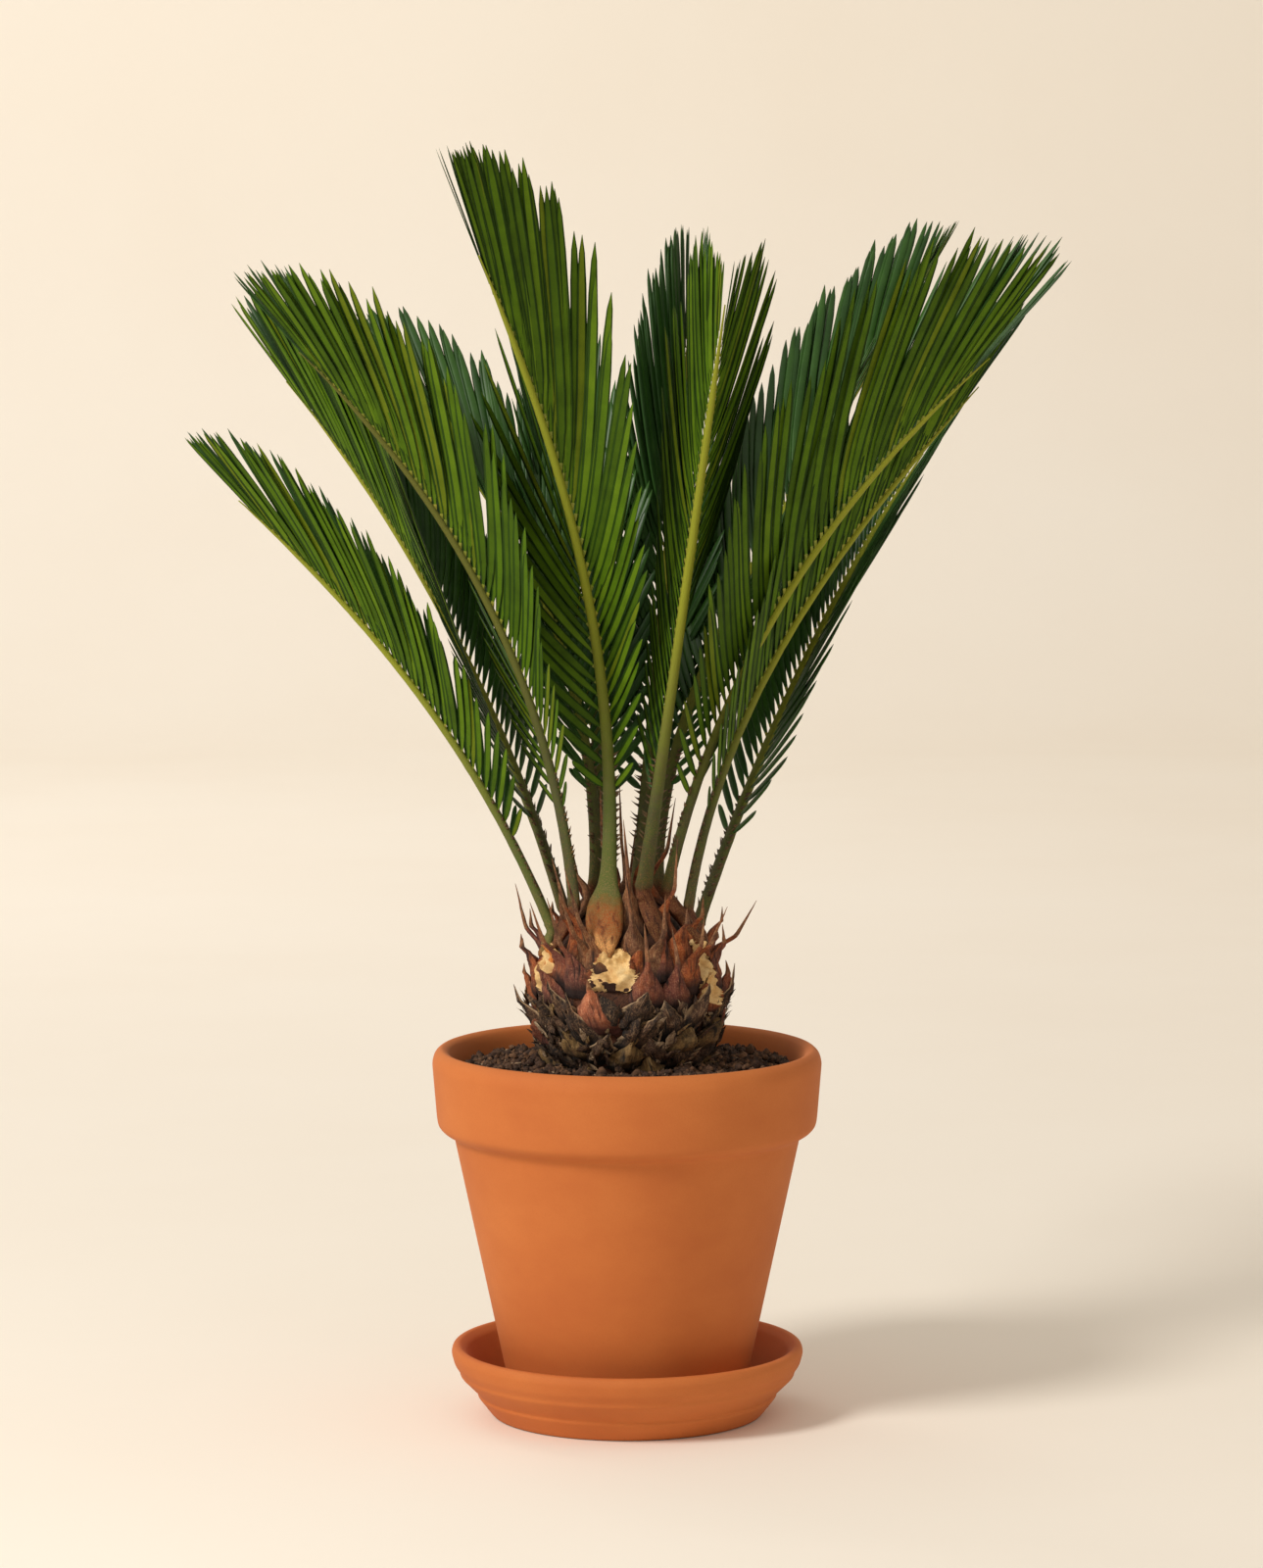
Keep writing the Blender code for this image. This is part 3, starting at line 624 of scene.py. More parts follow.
# A leaf base's shape along itself, as (place, value) pairs: 0 is its bottom, 1 the top of its body and
# 2 the tip of its awl
baseShape = dict(
    outline=((0, 0.74), (0.25, 1.0), (0.45, 1.0), (0.65, 0.78), (0.85, 0.40), (1.0, 0.15), (1.5, 0.09),
             (2.0, 0.012)),
    depth=((0, 0.15), (0.25, 0.55), (0.55, 1.0), (0.8, 0.8), (1.0, 0.42), (1.5, 0.22), (2.0, 0.04)),
    tent=((0.0, 2.2), (0.4, 1.7), (0.9, 1.0), (1.2, 1.6)),
    freeFrom=0.45, freeOver=0.75, hollow=-0.3, narrowest=0.016, awlFrom=1.2,
    rough=0.0007, fine=0.0003, ridge=0.0005, ridgeDrawn=0.16,
)


def leafBases(rows, sections=20, outer=17, inner=5, seed=0):
    # old leaf bases as closed shells. Along v the middle line follows the trunk's side, then frees itself
    # towards its lean and draws out into an awl; across u it wraps round the trunk. The half width is width
    # times an outline of v. The outer face rises from deep under its neighbours and stands proud by
    # thick times a depth of v times 1 - |u|^tent: a round swell low down, a keel near the awl. Its edges
    # are torn at random, and ridges along v and soft noise push the points in and out.
    # rows: azimuth, run at the bottom, length, half width, thickness, lift, lean, awl's share, skew and
    # raggedness
    columns = np.array(rows, float).T[..., None]
    azimuth, run, length, width, thick, lift, lean, awl, skew, ragged = columns
    count = len(azimuth)
    random = np.random.RandomState(seed + count)
    v = np.linspace(0, 1, sections)[None, :]
    u = np.concatenate([np.linspace(-1, 1, outer), np.linspace(1, -1, inner + 2)[1:-1]])
    isOuter = np.arange(len(u)) < outer
    base = 1 - awl
    part = np.where(v < base, v / base, 1 + (v - base) / np.maximum(awl, 0.001))
    outline = curveAt(part, baseShape["outline"])
    depth = thick * curveAt(part, baseShape["depth"])

    # the middle line and the outward direction, in the upright plane of radius and height
    freed = easeInOut((part - baseShape["freeFrom"]) / baseShape["freeOver"])
    held, loose = 1 - freed[..., None], freed[..., None]
    radius, height, along = onTrunk(run + length * v)
    rootRadius, rootHeight, rootAlong = onTrunk(run + length * 0.5 * base)
    heading = np.stack([np.sin(np.radians(lean)), np.cos(np.radians(lean))], -1)
    away = np.stack([rootAlong[..., 1], -rootAlong[..., 0]], -1)
    start = np.stack([rootRadius, rootHeight], -1) + away * lift[..., None]
    free = start + heading * (length * (v - 0.5 * base))[..., None]
    middle = np.stack([radius, height], -1) * held + free * loose
    normal = np.stack([along[..., 1], -along[..., 0]], -1) * held
    normal = unit(normal + np.stack([heading[..., 1], -heading[..., 0]], -1) * loose)

    # the section, carried round the trunk
    swell = 1 - np.abs(u) ** curveAt(part, baseShape["tent"])[..., None]
    proud = np.where(isOuter, swell, baseShape["hollow"] * (1 - u**2)) * depth[..., None]
    proud = proud - trunk["sunk"] * held
    tear = random.uniform(-1, 1, (count, sections, 2)) * ragged[..., None]
    edge = u * np.where(u < 0, 1 + tear[..., :1], 1 + tear[..., 1:])
    across = edge * (width * outline)[..., None]
    ring = middle[:, :, None, :] + normal[:, :, None, :] * proud[..., None]
    turn = np.radians(azimuth + skew * v)[..., None]
    turn = turn + across / np.maximum(middle[..., :1], baseShape["narrowest"])
    points = np.stack([ring[..., 0] * np.cos(turn), ring[..., 0] * np.sin(turn), ring[..., 1]], -1)

    # ridges and noise, weaker where the blade is narrow
    layout = np.stack([across, (length * v)[..., None] + 0 * across], -1)
    layout = layout + random.uniform(0, 3, (count, 1, 1, 2))
    drawn = np.stack([layout[..., 0], baseShape["ridgeDrawn"] * layout[..., 1], 0 * across], -1)
    rough = baseShape["rough"] * sineNoise(points, 0.008, seed + 3)
    rough = rough + baseShape["fine"] * sineNoise(points, 0.0035, seed + 4)
    rough = rough + baseShape["ridge"] * sineNoise(drawn, 0.0042, seed + 5)
    amount = rough * np.clip((width * outline)[..., None] / 0.006, 0.1, 1)
    points = points + amount[..., None] * np.stack([np.cos(turn), np.sin(turn), 0 * turn], -1)
    rise = np.clip(part / baseShape["awlFrom"], 0, 1)[..., None]
    marks = {"rise": rise + 0 * across, "rim": np.abs(u) + 0 * across}
    return points, gridFaces(sections, len(u), count), layout, marks


def makeCore():
    # the body under the leaf bases, sunk below the trunk's side, closed at the soil and at the crown's middle
    run = np.linspace(0, sideRun[-1], trunk["coreRings"])
    radius, height, along = onTrunk(run)
    sunk = trunk["sunk"] + 0.001
    radius = np.maximum(radius - sunk * along[:, 1], pole)[:, None]
    height = height + sunk * along[:, 0]
    height[0] = side[0, 1]
    turn = roundTurn(trunk["coreSteps"])
    core = np.stack([radius * np.cos(turn), radius * np.sin(turn), height[:, None] + 0 * turn], -1)
    layout = np.stack([turn * radius, run[:, None] + 0 * turn], -1)
    marks = {"rise": np.ones(core.shape[:2]), "rim": np.zeros(core.shape[:2])}
    faces = gridFaces(*core.shape[:2])
    addPiece("trunkCore", core, faces, [feltDark], None, marks, layout, ["trunk"])


# The finishes of leaf bases by number: 0 purple, 1 rust, 2 dark and torn, 3 olive, 4 salmon, 5 tan, 6 grey
baseLooks = [feltPurple, feltRust, scaleOld, scaleOlive, feltSalmon, feltTan, awlGrey]

# The rings of leaf bases that wind up to the crown, with the finishes of each
bases = dict(
    rings=6, oldRings=3, perRing=13, first=-0.013, spacing=0.0146, halfWidth=0.0145,
    finishes=((3, 3, 2), (2, 2, 2, 3), (2, 2, 0, 0), (0, 2, 4, 1), (0, 0, 0, 1), (0, 0, 1, 1)),
)

# Cut ones: azimuth, run of the bottom, length, half width, the cut's height on the trunk, its tilt and its
# setback
cutRows = (
    (261, 0.0580, 0.027, 0.0210, 0.2650, 26, 0.0044),
    (333, 0.056, 0.032, 0.0155, 0.2690, 26, 0.0034),
    (331, 0.036, 0.028, 0.0145, 0.2500, 10, 0.0034),
    (203, 0.051, 0.032, 0.0140, 0.2640, 22, 0.0032),
    (60, 0.036, 0.032, 0.0140, 0.2500, 14, 0.0030),
    (118, 0.046, 0.032, 0.0140, 0.2600, 22, 0.0030),
)

# The leaf bases on the viewer's side: azimuth, run of the middle, body and awl length, half width, thickness,
# lean, skew, raggedness and finish
frontRows = (
    (283, 0.0570, 0.025, 0.026, 0.0125, 0.0072, 2, -5, 0.05, 0),
    (302, 0.0560, 0.025, 0.024, 0.0115, 0.0070, 0, -9, 0.07, 0),
    (316, 0.0660, 0.024, 0.018, 0.0105, 0.0066, 4, 4, 0.06, 1),
    (337, 0.0860, 0.020, 0.014, 0.0100, 0.0060, 8, -4, 0.06, 1),
    (252, 0.0430, 0.027, 0.007, 0.0168, 0.0080, 2, -6, 0.05, 4),
    (234, 0.0655, 0.026, 0.030, 0.0120, 0.0066, 8, -14, 0.06, 0),
    (217, 0.0530, 0.025, 0.004, 0.0130, 0.0066, 4, -5, 0.06, 0),
    (240, 0.0330, 0.024, 0.010, 0.0135, 0.0072, -4, -12, 0.15, 2),
    (212, 0.0340, 0.026, 0.006, 0.0120, 0.0064, 4, 10, 0.16, 2),
    (297, 0.0370, 0.024, 0.003, 0.0130, 0.0070, -6, -10, 0.16, 2),
    (276, 0.0440, 0.022, 0.002, 0.0130, 0.0058, -6, 10, 0.19, 2),
    (279, 0.0300, 0.022, 0.003, 0.0140, 0.0066, 4, 16, 0.18, 2),
    (309, 0.0235, 0.021, 0.001, 0.0140, 0.0100, -8, 4, 0.08, 3),
    (333, 0.0250, 0.022, 0.002, 0.0130, 0.0094, -6, 8, 0.08, 3),
    (232, 0.0205, 0.024, 0.002, 0.0120, 0.0088, -6, -4, 0.12, 3),
    (270, 0.0150, 0.022, 0.002, 0.0130, 0.0080, -6, 6, 0.16, 3),
    (316, 0.0400, 0.026, 0.006, 0.0125, 0.0068, -4, 12, 0.18, 2),
    (340, 0.0380, 0.028, 0.016, 0.0105, 0.0056, 8, 6, 0.14, 2),
    (290, 0.0180, 0.022, 0.002, 0.0120, 0.0060, 2, -14, 0.15, 2),
    (251, 0.0190, 0.022, 0.003, 0.0120, 0.0060, 2, 16, 0.16, 2),
    (278, 0.0735, 0.017, 0.000, 0.0090, 0.0058, 0, 0, 0.10, 1),
    (204, 0.0725, 0.017, 0.000, 0.0090, 0.0062, 0, 0, 0.10, 5),
    (222, 0.0850, 0.022, 0.016, 0.0105, 0.0058, 8, -6, 0.08, 1),
    (296, 0.0760, 0.024, 0.016, 0.0105, 0.0062, 2, -2, 0.06, 0),
    (243, 0.0790, 0.024, 0.036, 0.0120, 0.0062, 8, -16, 0.05, 6),
    (276, 0.0850, 0.022, 0.034, 0.0110, 0.0062, 2, -10, 0.05, 6),
    (200, 0.0330, 0.024, 0.012, 0.0110, 0.0060, 20, -8, 0.16, 2),
    (228, 0.0440, 0.022, 0.006, 0.0100, 0.0064, 2, -10, 0.10, 2),
)
# Places kept free for the feet of fronds: azimuth and run
freePlaces = ((257, 0.060), (268, 0.060), (248, 0.060), (188, 0.060))


def besideOthers(azimuth, start):
    # whether a leaf base of the rings would lie over a cut one, a frond's foot or one of the viewer's side
    for cut in cutRows:
        aside = abs((azimuth - cut[0] + 180) % 360 - 180)
        if aside < 15 and abs(start - cut[1]) < 0.010:
            return True
        if aside < 14 and -0.004 < cut[1] - start < 0.017:
            return True
    for place in freePlaces:
        if abs(azimuth - place[0]) < 9 and abs(start - place[1]) < 0.010:
            return True
    for row in frontRows:
        aside = abs((azimuth - row[0] + 180) % 360 - 180) / 11
        if math.hypot(aside, (start + 0.013 - row[1]) / 0.010) < 1:
            return True
    return False


def makeLeafBases():
    # the placed leaf bases and the rings of overlapping ones: olive at the soil, then dark and torn, then
    # felted purple and rust with long awls
    random = np.random.RandomState(31)
    rows = []
    dealt = []
    for azimuth, middle, body, awl, width, thick, lean, skew, torn, look in frontRows:
        length = body + awl
        azimuth = azimuth - skew * 0.5 * body / length
        rows.append((azimuth, middle - body / 2, length, width, thick, 0.0005, lean, max(awl, 0.001) / length,
                     skew, torn))
        dealt.append(look)
    for ring in range(bases["rings"]):
        old = ring < bases["oldRings"]
        for k in range(bases["perRing"]):
            azimuth = 270 + (k + 0.5 * (ring % 2)) * 360 / bases["perRing"] + random.uniform(-6, 6)
            astray = random.uniform(-1, 1) * (0.0065 if old else 0.004)
            start = bases["first"] + ring * bases["spacing"] + astray
            awl = random.uniform(0.03, 0.20) if old else random.uniform(0.10, 0.34)
            body = random.uniform(0.024, 0.031)
            width = bases["halfWidth"] * random.uniform(0.78, 1.12)
            thick = random.uniform(0.0046, 0.0072)
            lift = random.uniform(-0.001, 0.002)
            lean = random.uniform(-8, 5) if old else random.uniform(-6, 8)
            skew = random.uniform(-16, 16)
            torn = 0.18 if old else 0.06
            look = random.choice(bases["finishes"][ring])
            if not besideOthers(azimuth, start):
                rows.append((azimuth, start, body / (1 - awl), width, thick, lift, lean, awl, skew, torn))
                dealt.append(look)
    points, faces, layout, marks = leafBases(rows)
    # felted ones have grey awls, the dark and the olive ones keep their finish to the tip
    plain = dealLooks(faces, np.array(dealt))
    looks = np.where(np.isin(plain, (2, 3)), plain, dealLooks(faces, np.array(dealt), marks, 6))
    addPiece("leafBases", points, faces, baseLooks, looks, marks, layout)


def makeCutBases():
    # leaf bases cut through: thick ones are flattened onto an uneven plane, and the faces on it are bare and
    # pale
    rows = [(azimuth, run, length, width, 0.0120, 0.0, 0, 0.02, 0, 0.07)
            for azimuth, run, length, width, *_ in cutRows]
    points, faces, layout, marks = leafBases(rows, sections=40, outer=35, inner=7, seed=7)
    azimuth, _, _, _, height, tilt, back = np.array(cutRows).T
    turn, tilt = np.radians(azimuth), np.radians(tilt)
    normal = np.stack([np.cos(turn) * np.cos(tilt), np.sin(turn) * np.cos(tilt), np.sin(tilt)], 1)
    radius = np.interp(height, side[:, 1], side[:, 0]) - back
    centre = np.stack([radius * np.cos(turn), radius * np.sin(turn), height], 1)
    over = ((points - centre[:, None, None]) * normal[:, None, None]).sum(-1)
    uneven = 0.0040 * sineNoise(points, 0.012, 74) + 0.0009 * sineNoise(points, 0.0035, 72)
    onPlane = over > uneven
    points = points - normal[:, None, None] * np.where(onPlane, over - uneven, 0)[..., None]
    bare = onPlane.ravel()[faces[0]].all(1)
    looks = np.concatenate([np.where(bare, 1, 0), np.zeros(len(faces[1]), int)])
    addPiece("cutBases", points, faces, [feltRust, cutCream], looks, marks, layout)


# torn papery strips; lengths and widths are ranges, large is the share of those that are longer and wider
flakes = dict(
    count=300, run=(0.004, 0.046), sunk=0.0022, length=(0.004, 0.013), width=(0.0008, 0.0026), large=0.22,
    longer=1.4, thick=0.00018, curl=(-0.5, 0.9), outline=(0.8, 1.0, 0.85, 0.9, 0.6, 0.3, 0.05), columns=4,
)


def makeFlakes():
    # strips that curl off the old bases in the lower half, as thin closed blades: the middle line is
    # root + length (v heading + curl v^2 / 2 under), with the half width following an outline of v and a
    # flat oval for its section
    random = np.random.RandomState(51)
    count = flakes["count"]
    azimuth = random.uniform(0, 360, count)
    run = random.uniform(*flakes["run"], count)
    root, normal, around, rising = onTrunkPlaces(azimuth, run, flakes["sunk"])
    lean = random.normal(0, 0.6, count)[:, None]
    heading = rising * np.cos(lean) + around * np.sin(lean)
    heading = unit(heading + normal * random.uniform(0.0, 0.35, count)[:, None])
    across = unit(np.cross(heading, normal))
    across = unit(across + normal * random.uniform(-0.5, 0.5, count)[:, None])
    length = random.uniform(*flakes["length"], count)
    large = random.uniform(size=count) < flakes["large"]
    length[large] *= flakes["longer"]
    width = random.uniform(*flakes["width"], count) * (1 + large)
    curl = random.uniform(*flakes["curl"], count)

    under = np.cross(across, heading)
    outline = np.array(flakes["outline"])
    v = np.linspace(0, 1, len(outline))[None, :, None]
    path = v * heading[:, None] + 0.5 * curl[:, None, None] * v**2 * under[:, None]
    line = root[:, None] + length[:, None, None] * path
    turn = (np.arange(flakes["columns"]) + 0.5) * 2 * np.pi / flakes["columns"]
    half = (width[:, None] * outline)[..., None]
    deep = flakes["thick"] * np.minimum(1, half / half.max())
    points = line[:, :, None] + across[:, None, None] * (half * np.cos(turn) * 1.3)[..., None]
    points = points + under[:, None, None] * (deep * np.sin(turn))[..., None]
    points = points + 0.0005 * sineNoise(points, 0.004, 52)[..., None] * normal[:, None, None]

    faces = gridFaces(len(outline), flakes["columns"], count)
    layout = np.stack([points[..., 0] + points[..., 1], points[..., 2]], -1)
    looks = dealLooks(faces, random.choice((0, 1, 1, 1, 2), count))
    marks = {"rise": np.ones(points.shape[:3]), "rim": np.zeros(points.shape[:3])}
    addPiece("paperFlakes", points, faces, [paperPale, scaleOld, scaleOlive], looks, marks, layout)


makeCore()
makeLeafBases()
makeCutBases()
makeFlakes()
print("trunk built")


# Scale leaves

# On the crown: azimuth, radius of the foot, lean outward in degrees, length, as in the source, then the turn
# and the half width of the felted body below, the awl's skew and the finish: 0 purple, 1 rust, 2 grey
scaleRows = (
    (262, 0.030, 8, 0.050, 13, 0.0105, -8, 2),
    (305, 0.034, 12, 0.044, 10, 0.0100, -8, 1),
    (225, 0.040, 14, 0.040, 2, 0.0110, -8, 1),
    (178, 0.026, 10, 0.046, 0, 0.0095, 4, 2),
    (320, 0.012, 6, 0.052, 0, 0.0080, -4, 1),
    (200, 0.012, 4, 0.056, 0, 0.0080, 4, 1),
    (100, 0.012, 5, 0.052, 0, 0.0080, 4, 2),
    (12, 0.016, 10, 0.046, 0, 0.0085, -6, 1),
    (60, 0.036, 12, 0.042, 0, 0.0110, 6, 0),
    (90, 0.034, 12, 0.040, 0, 0.0110, -6, 1),
    (125, 0.038, 14, 0.040, 0, 0.0110, 4, 0),
    (250, 0.046, 18, 0.032, -8, 0.0115, -10, 2),
    (292, 0.046, 18, 0.032, 2, 0.0110, -4, 2),
    (222, 0.052, 16, 0.030, 0, 0.0115, -10, 0),
    (172, 0.052, 14, 0.036, 0, 0.0100, 6, 0),
    (5, 0.052, 34, 0.030, 0, 0.0090, 6, 1),
    (322, 0.050, 24, 0.030, -4, 0.0110, 6, 1),
    (50, 0.052, 26, 0.028, 0, 0.0115, -6, 0),
    (92, 0.050, 22, 0.030, 0, 0.0115, 6, 0),
    (130, 0.052, 24, 0.028, 0, 0.0115, -6, 0),
)

# what all of them share, and how far the body runs down below the foot
scaleLeaf = dict(below=0.017, longer=0.019, thick=0.0054, lift=0.0005, awl=0.56, torn=0.06)


def makeScaleLeaves():
    # hairy awls: the leaf base's rule with a wide felted body and a long awl
    rows = []
    for azimuth, radius, lean, length, turned, width, skew, _ in scaleRows:
        start = runAtRadius(radius) - scaleLeaf["below"]
        rows.append((azimuth + turned, start, length + scaleLeaf["longer"], width, scaleLeaf["thick"],
                     scaleLeaf["lift"], lean, scaleLeaf["awl"], skew, scaleLeaf["torn"]))
    points, faces, layout, marks = leafBases(rows, sections=24, outer=13, inner=5)
    names = [f"scale_leaf_{k + 1:02d}" for k in range(len(scaleRows))]
    dealt = np.array([row[-1] for row in scaleRows])
    looks = dealLooks(faces, dealt, marks, 2)
    palette = [feltPurple, feltRust, awlGrey]
    addPiece("scaleLeaves", points, faces, palette, looks, marks, layout, names)


makeScaleLeaves()
print("scale leaves grown")


# Fronds

# One row per frond: azimuth, foot radius, rise at the foot and at the tip in degrees, how late it bends,
# length, longest leaflet as a share of the longest of all, fold and roll in degrees.
frondRows = {
    "frond_01_front_left": (240, 0.022, 98.0, 50.5, 1.9, 0.450, 0.74, 52, 0),
    "frond_02_right_front": (338, 0.023, 77.0, 36.0, 1.1, 0.410, 1.00, 46, 0),
    "frond_03_left_front": (205, 0.032, 84.5, 37.0, 1.1, 0.410, 0.75, 46, 0),
    "frond_04_front_right": (296, 0.020, 72.5, 73.5, 1.6, 0.375, 0.76, 62, -18),
    "frond_05_left_low": (188, 0.042, 68.5, 40.0, 1.3, 0.350, 0.58, 46, 0),
    "frond_06_right": (352, 0.034, 82.0, 47.0, 1.8, 0.390, 0.74, 46, 0),
    "frond_07_left_back": (155, 0.038, 71.5, 39.5, 0.8, 0.400, 0.76, 55, 0),
    "frond_08_right_low": (28, 0.044, 68.5, 46.0, 0.7, 0.355, 0.66, 34, 15),
    "frond_09_back_left": (138, 0.024, 93.5, 30.5, 1.4, 0.400, 0.60, 46, 0),
    "frond_10_back_right": (46, 0.024, 92.0, 46.5, 4.1, 0.465, 0.62, 46, 0),
    "frond_11_back": (76, 0.027, 73.0, 65.5, 2.0, 0.405, 0.62, 62, 0),
    "frond_12_back_middle": (110, 0.030, 82.0, 52.0, 1.5, 0.370, 0.70, 58, 0),
}
frond = dict(
    longest=0.114, curl=0.25, bow=0.36, tuft=0.030, petiole=0.070, seat=0.0008, steps=200, rollBy=0.6,
    half=((0.0, 0.0056), (0.03, 0.0046), (0.16, 0.0037), (0.35, 0.0028), (0.55, 0.0025), (0.78, 0.0018),
          (1.0, 0.0009)),
    thick=((0.0, 0.0034), (0.03, 0.0032), (0.16, 0.0028), (0.35, 0.0023), (0.55, 0.0020), (0.78, 0.0014),
           (1.0, 0.0008)),
    sides=14, below=1.1, above=0.75, thinFrom=0.14, thinTo=0.30, pastLast=0.012,
)
# the felted foot of a leaf stalk: a tongue down the trunk's side, from its bottom at 0 to the crown at 0.9
foot = dict(
    rings=9, top=0.9, lowest=0.079, shortest=0.016, deepest=0.040, sunk=0.0012, joins=1.1, joinStep=0.012,
    half=((0, 0.0014), (0.12, 0.0050), (0.32, 0.0094), (0.52, 0.0116), (0.72, 0.0110), (0.9, 0.0086)),
    thick=((0, 0.0010), (0.2, 0.0030), (0.5, 0.0046), (0.7, 0.0048), (0.9, 0.0042)),
)
spines = dict(pitch=0.0058, first=0.020, long=(0.0028, 0.0052), astray=0.0012, sides=5,
              thin=((0.0, 0.00120), (0.35, 0.00070), (0.7, 0.00034), (1.0, 0.00006)))


def leafLook(name, base, pale, deep, roughness=0.6, gloss=0.1):
    # the skin of a leaflet
    return earthLook(name, base, pale, deep, 60.0, 1500.0, 0.2, roughness, 0.15, 0.0002,
                     Specular_IOR_Level=gloss)


leafUpper = leafLook("leafUpper", (51, 89, 30), (61, 101, 38), (41, 75, 25), 0.4, 0.35)
leafUpperDeep = leafLook("leafUpperDeep", (41, 76, 27), (49, 85, 32), (33, 63, 22), 0.38, 0.35)
leafUnder = leafLook("leafUnder", (75, 105, 14), (84, 116, 17), (63, 90, 11))
leafUnderPale = leafLook("leafUnderPale", (87, 116, 18), (98, 127, 23), (74, 101, 14))
leafUnderDeep = leafLook("leafUnderDeep", (64, 91, 12), (73, 102, 15), (53, 77, 10))
leafUnderWarm = leafLook("leafUnderWarm", (96, 112, 19), (106, 123, 23), (80, 97, 14))
# painted shade: a dark green for the rolled-down margins of the leaflets' undersides, where shade falls
# between leaflets
leafEdgeShade = leafLook("leafEdgeShade", (40, 66, 8), (46, 74, 10), (34, 56, 6), gloss=0.15)
leafBase = earthLook("leafBase", (128, 136, 38), (158, 150, 48), (96, 110, 26), 90.0, 1500.0, 0.2, 0.6,
                     0.2, 0.0002)
stalkGreen = woolLook("stalkGreen", (78, 88, 38), (76, 76, 46), (142, 146, 34), (146, 104, 60), (96, 46, 24),
                      (94, 46, 26), (52, 26, 14), 0.085, 0.002)
stalkBright = woolLook("stalkBright", (84, 98, 38), (92, 96, 48), (142, 148, 36), (146, 118, 70),
                       (158, 80, 30), (222, 158, 94), (104, 54, 26), 0.060, -0.012)
# painted shade: a copy of stalkGreen, its rib much darker and its green a little darker, for the rib of
# frond_03 that lies in the shade of frond_04's leaflets
stalkGreenShaded = woolLook("stalkGreenShaded", (76, 84, 40), (74, 74, 48), (100, 102, 36), (142, 100, 56), (96, 46, 24),
                     (94, 46, 26), (52, 26, 14), 0.085, 0.002)
spineBrown = earthLook("spineBrown", (96, 74, 44), (130, 104, 62), (60, 42, 28), 200.0, 1600.0, 0.3, 0.6,
                       0.2, 0.0002)


def ribFrames(row, where):
    # centre points and the directions along, up the folded face of, and across a rib. The rise falls from
    # its value at the foot to that at the tip as (1 - s) to a power, and the line is the sum of the steps
    # along it. The roll about the rib grows over its lower part
    azimuth, footRadius, rise0, rise1, late, length, _, _, roll = row
    fine = np.linspace(0, 1, frond["steps"] + 1)
    middle = (fine[:-1] + fine[1:]) / 2
    turn = np.radians(azimuth)
    out = np.array((np.cos(turn), np.sin(turn), 0.0))

    def rise(s):
        return np.radians(rise1 + (rise0 - rise1) * np.clip(1 - s, 0, 1) ** late)[:, None]

    step = (np.cos(rise(middle)) * out + np.sin(rise(middle)) * upward) * length / frond["steps"]
    start = footRadius * out + (crownHeight(footRadius) + frond["seat"]) * upward
    line = np.vstack([start, start + np.cumsum(step, 0)])
    where = np.asarray(where, float)
    centre = np.stack([np.interp(where, fine, line[:, k]) for k in range(3)], 1)
    along = np.cos(rise(where)) * out + np.sin(rise(where)) * upward
    centre = centre + along * (np.minimum(where, 0) * length)[:, None]
    inner = -np.sin(rise(where)) * out + np.cos(rise(where)) * upward
    across = np.cross(along, inner)
    tilt = np.radians(roll) * easeInOut(where / frond["rollBy"])[:, None]
    face = inner * np.cos(tilt) + across * np.sin(tilt)
    across = across * np.cos(tilt) - inner * np.sin(tilt)
    return centre, along, face, across


def ribSize(where):
    # half width and half thickness of the leaf stalk and rib
    return curveAt(where, frond["half"]), curveAt(where, frond["thick"])


def makeSpines(row, random):
    # small bent cones on both edges of the stalk, out and a little up
    length = row[5]
    count = int(2 * (frond["petiole"] + 0.02) / spines["pitch"])
    at = np.linspace(spines["first"] / length, frond["petiole"] / length * 1.15, count)
    at = at + random.normal(0, spines["astray"] / length, count)
    sign = np.where(np.arange(count) % 2 == 0, 1.0, -1.0)
    centre, along, face, across = ribFrames(row, at)
    half, thick = ribSize(at)
    out = across * sign[:, None]
    root = centre + out * (half * 0.85)[:, None] + face * (thick * 0.3)[:, None]
    long = random.uniform(*spines["long"], count)[:, None]
    v, thin = np.array(spines["thin"]).T
    spread = random.uniform(0.3, 0.9, count)[:, None, None]
    line = root[:, None] + (out * 0.95)[:, None] * (long * v)[..., None]
    line = line + along[:, None] * (long * v**1.3)[..., None] * spread
    turn = roundTurn(spines["sides"])
    points = line[:, :, None] + along[:, None, None] * (thin[:, None] * np.cos(turn))[None, ..., None]
    points = points + face[:, None, None] * (thin[:, None] * np.sin(turn))[None, ..., None]
    return points, gridFaces(len(v), spines["sides"], count)


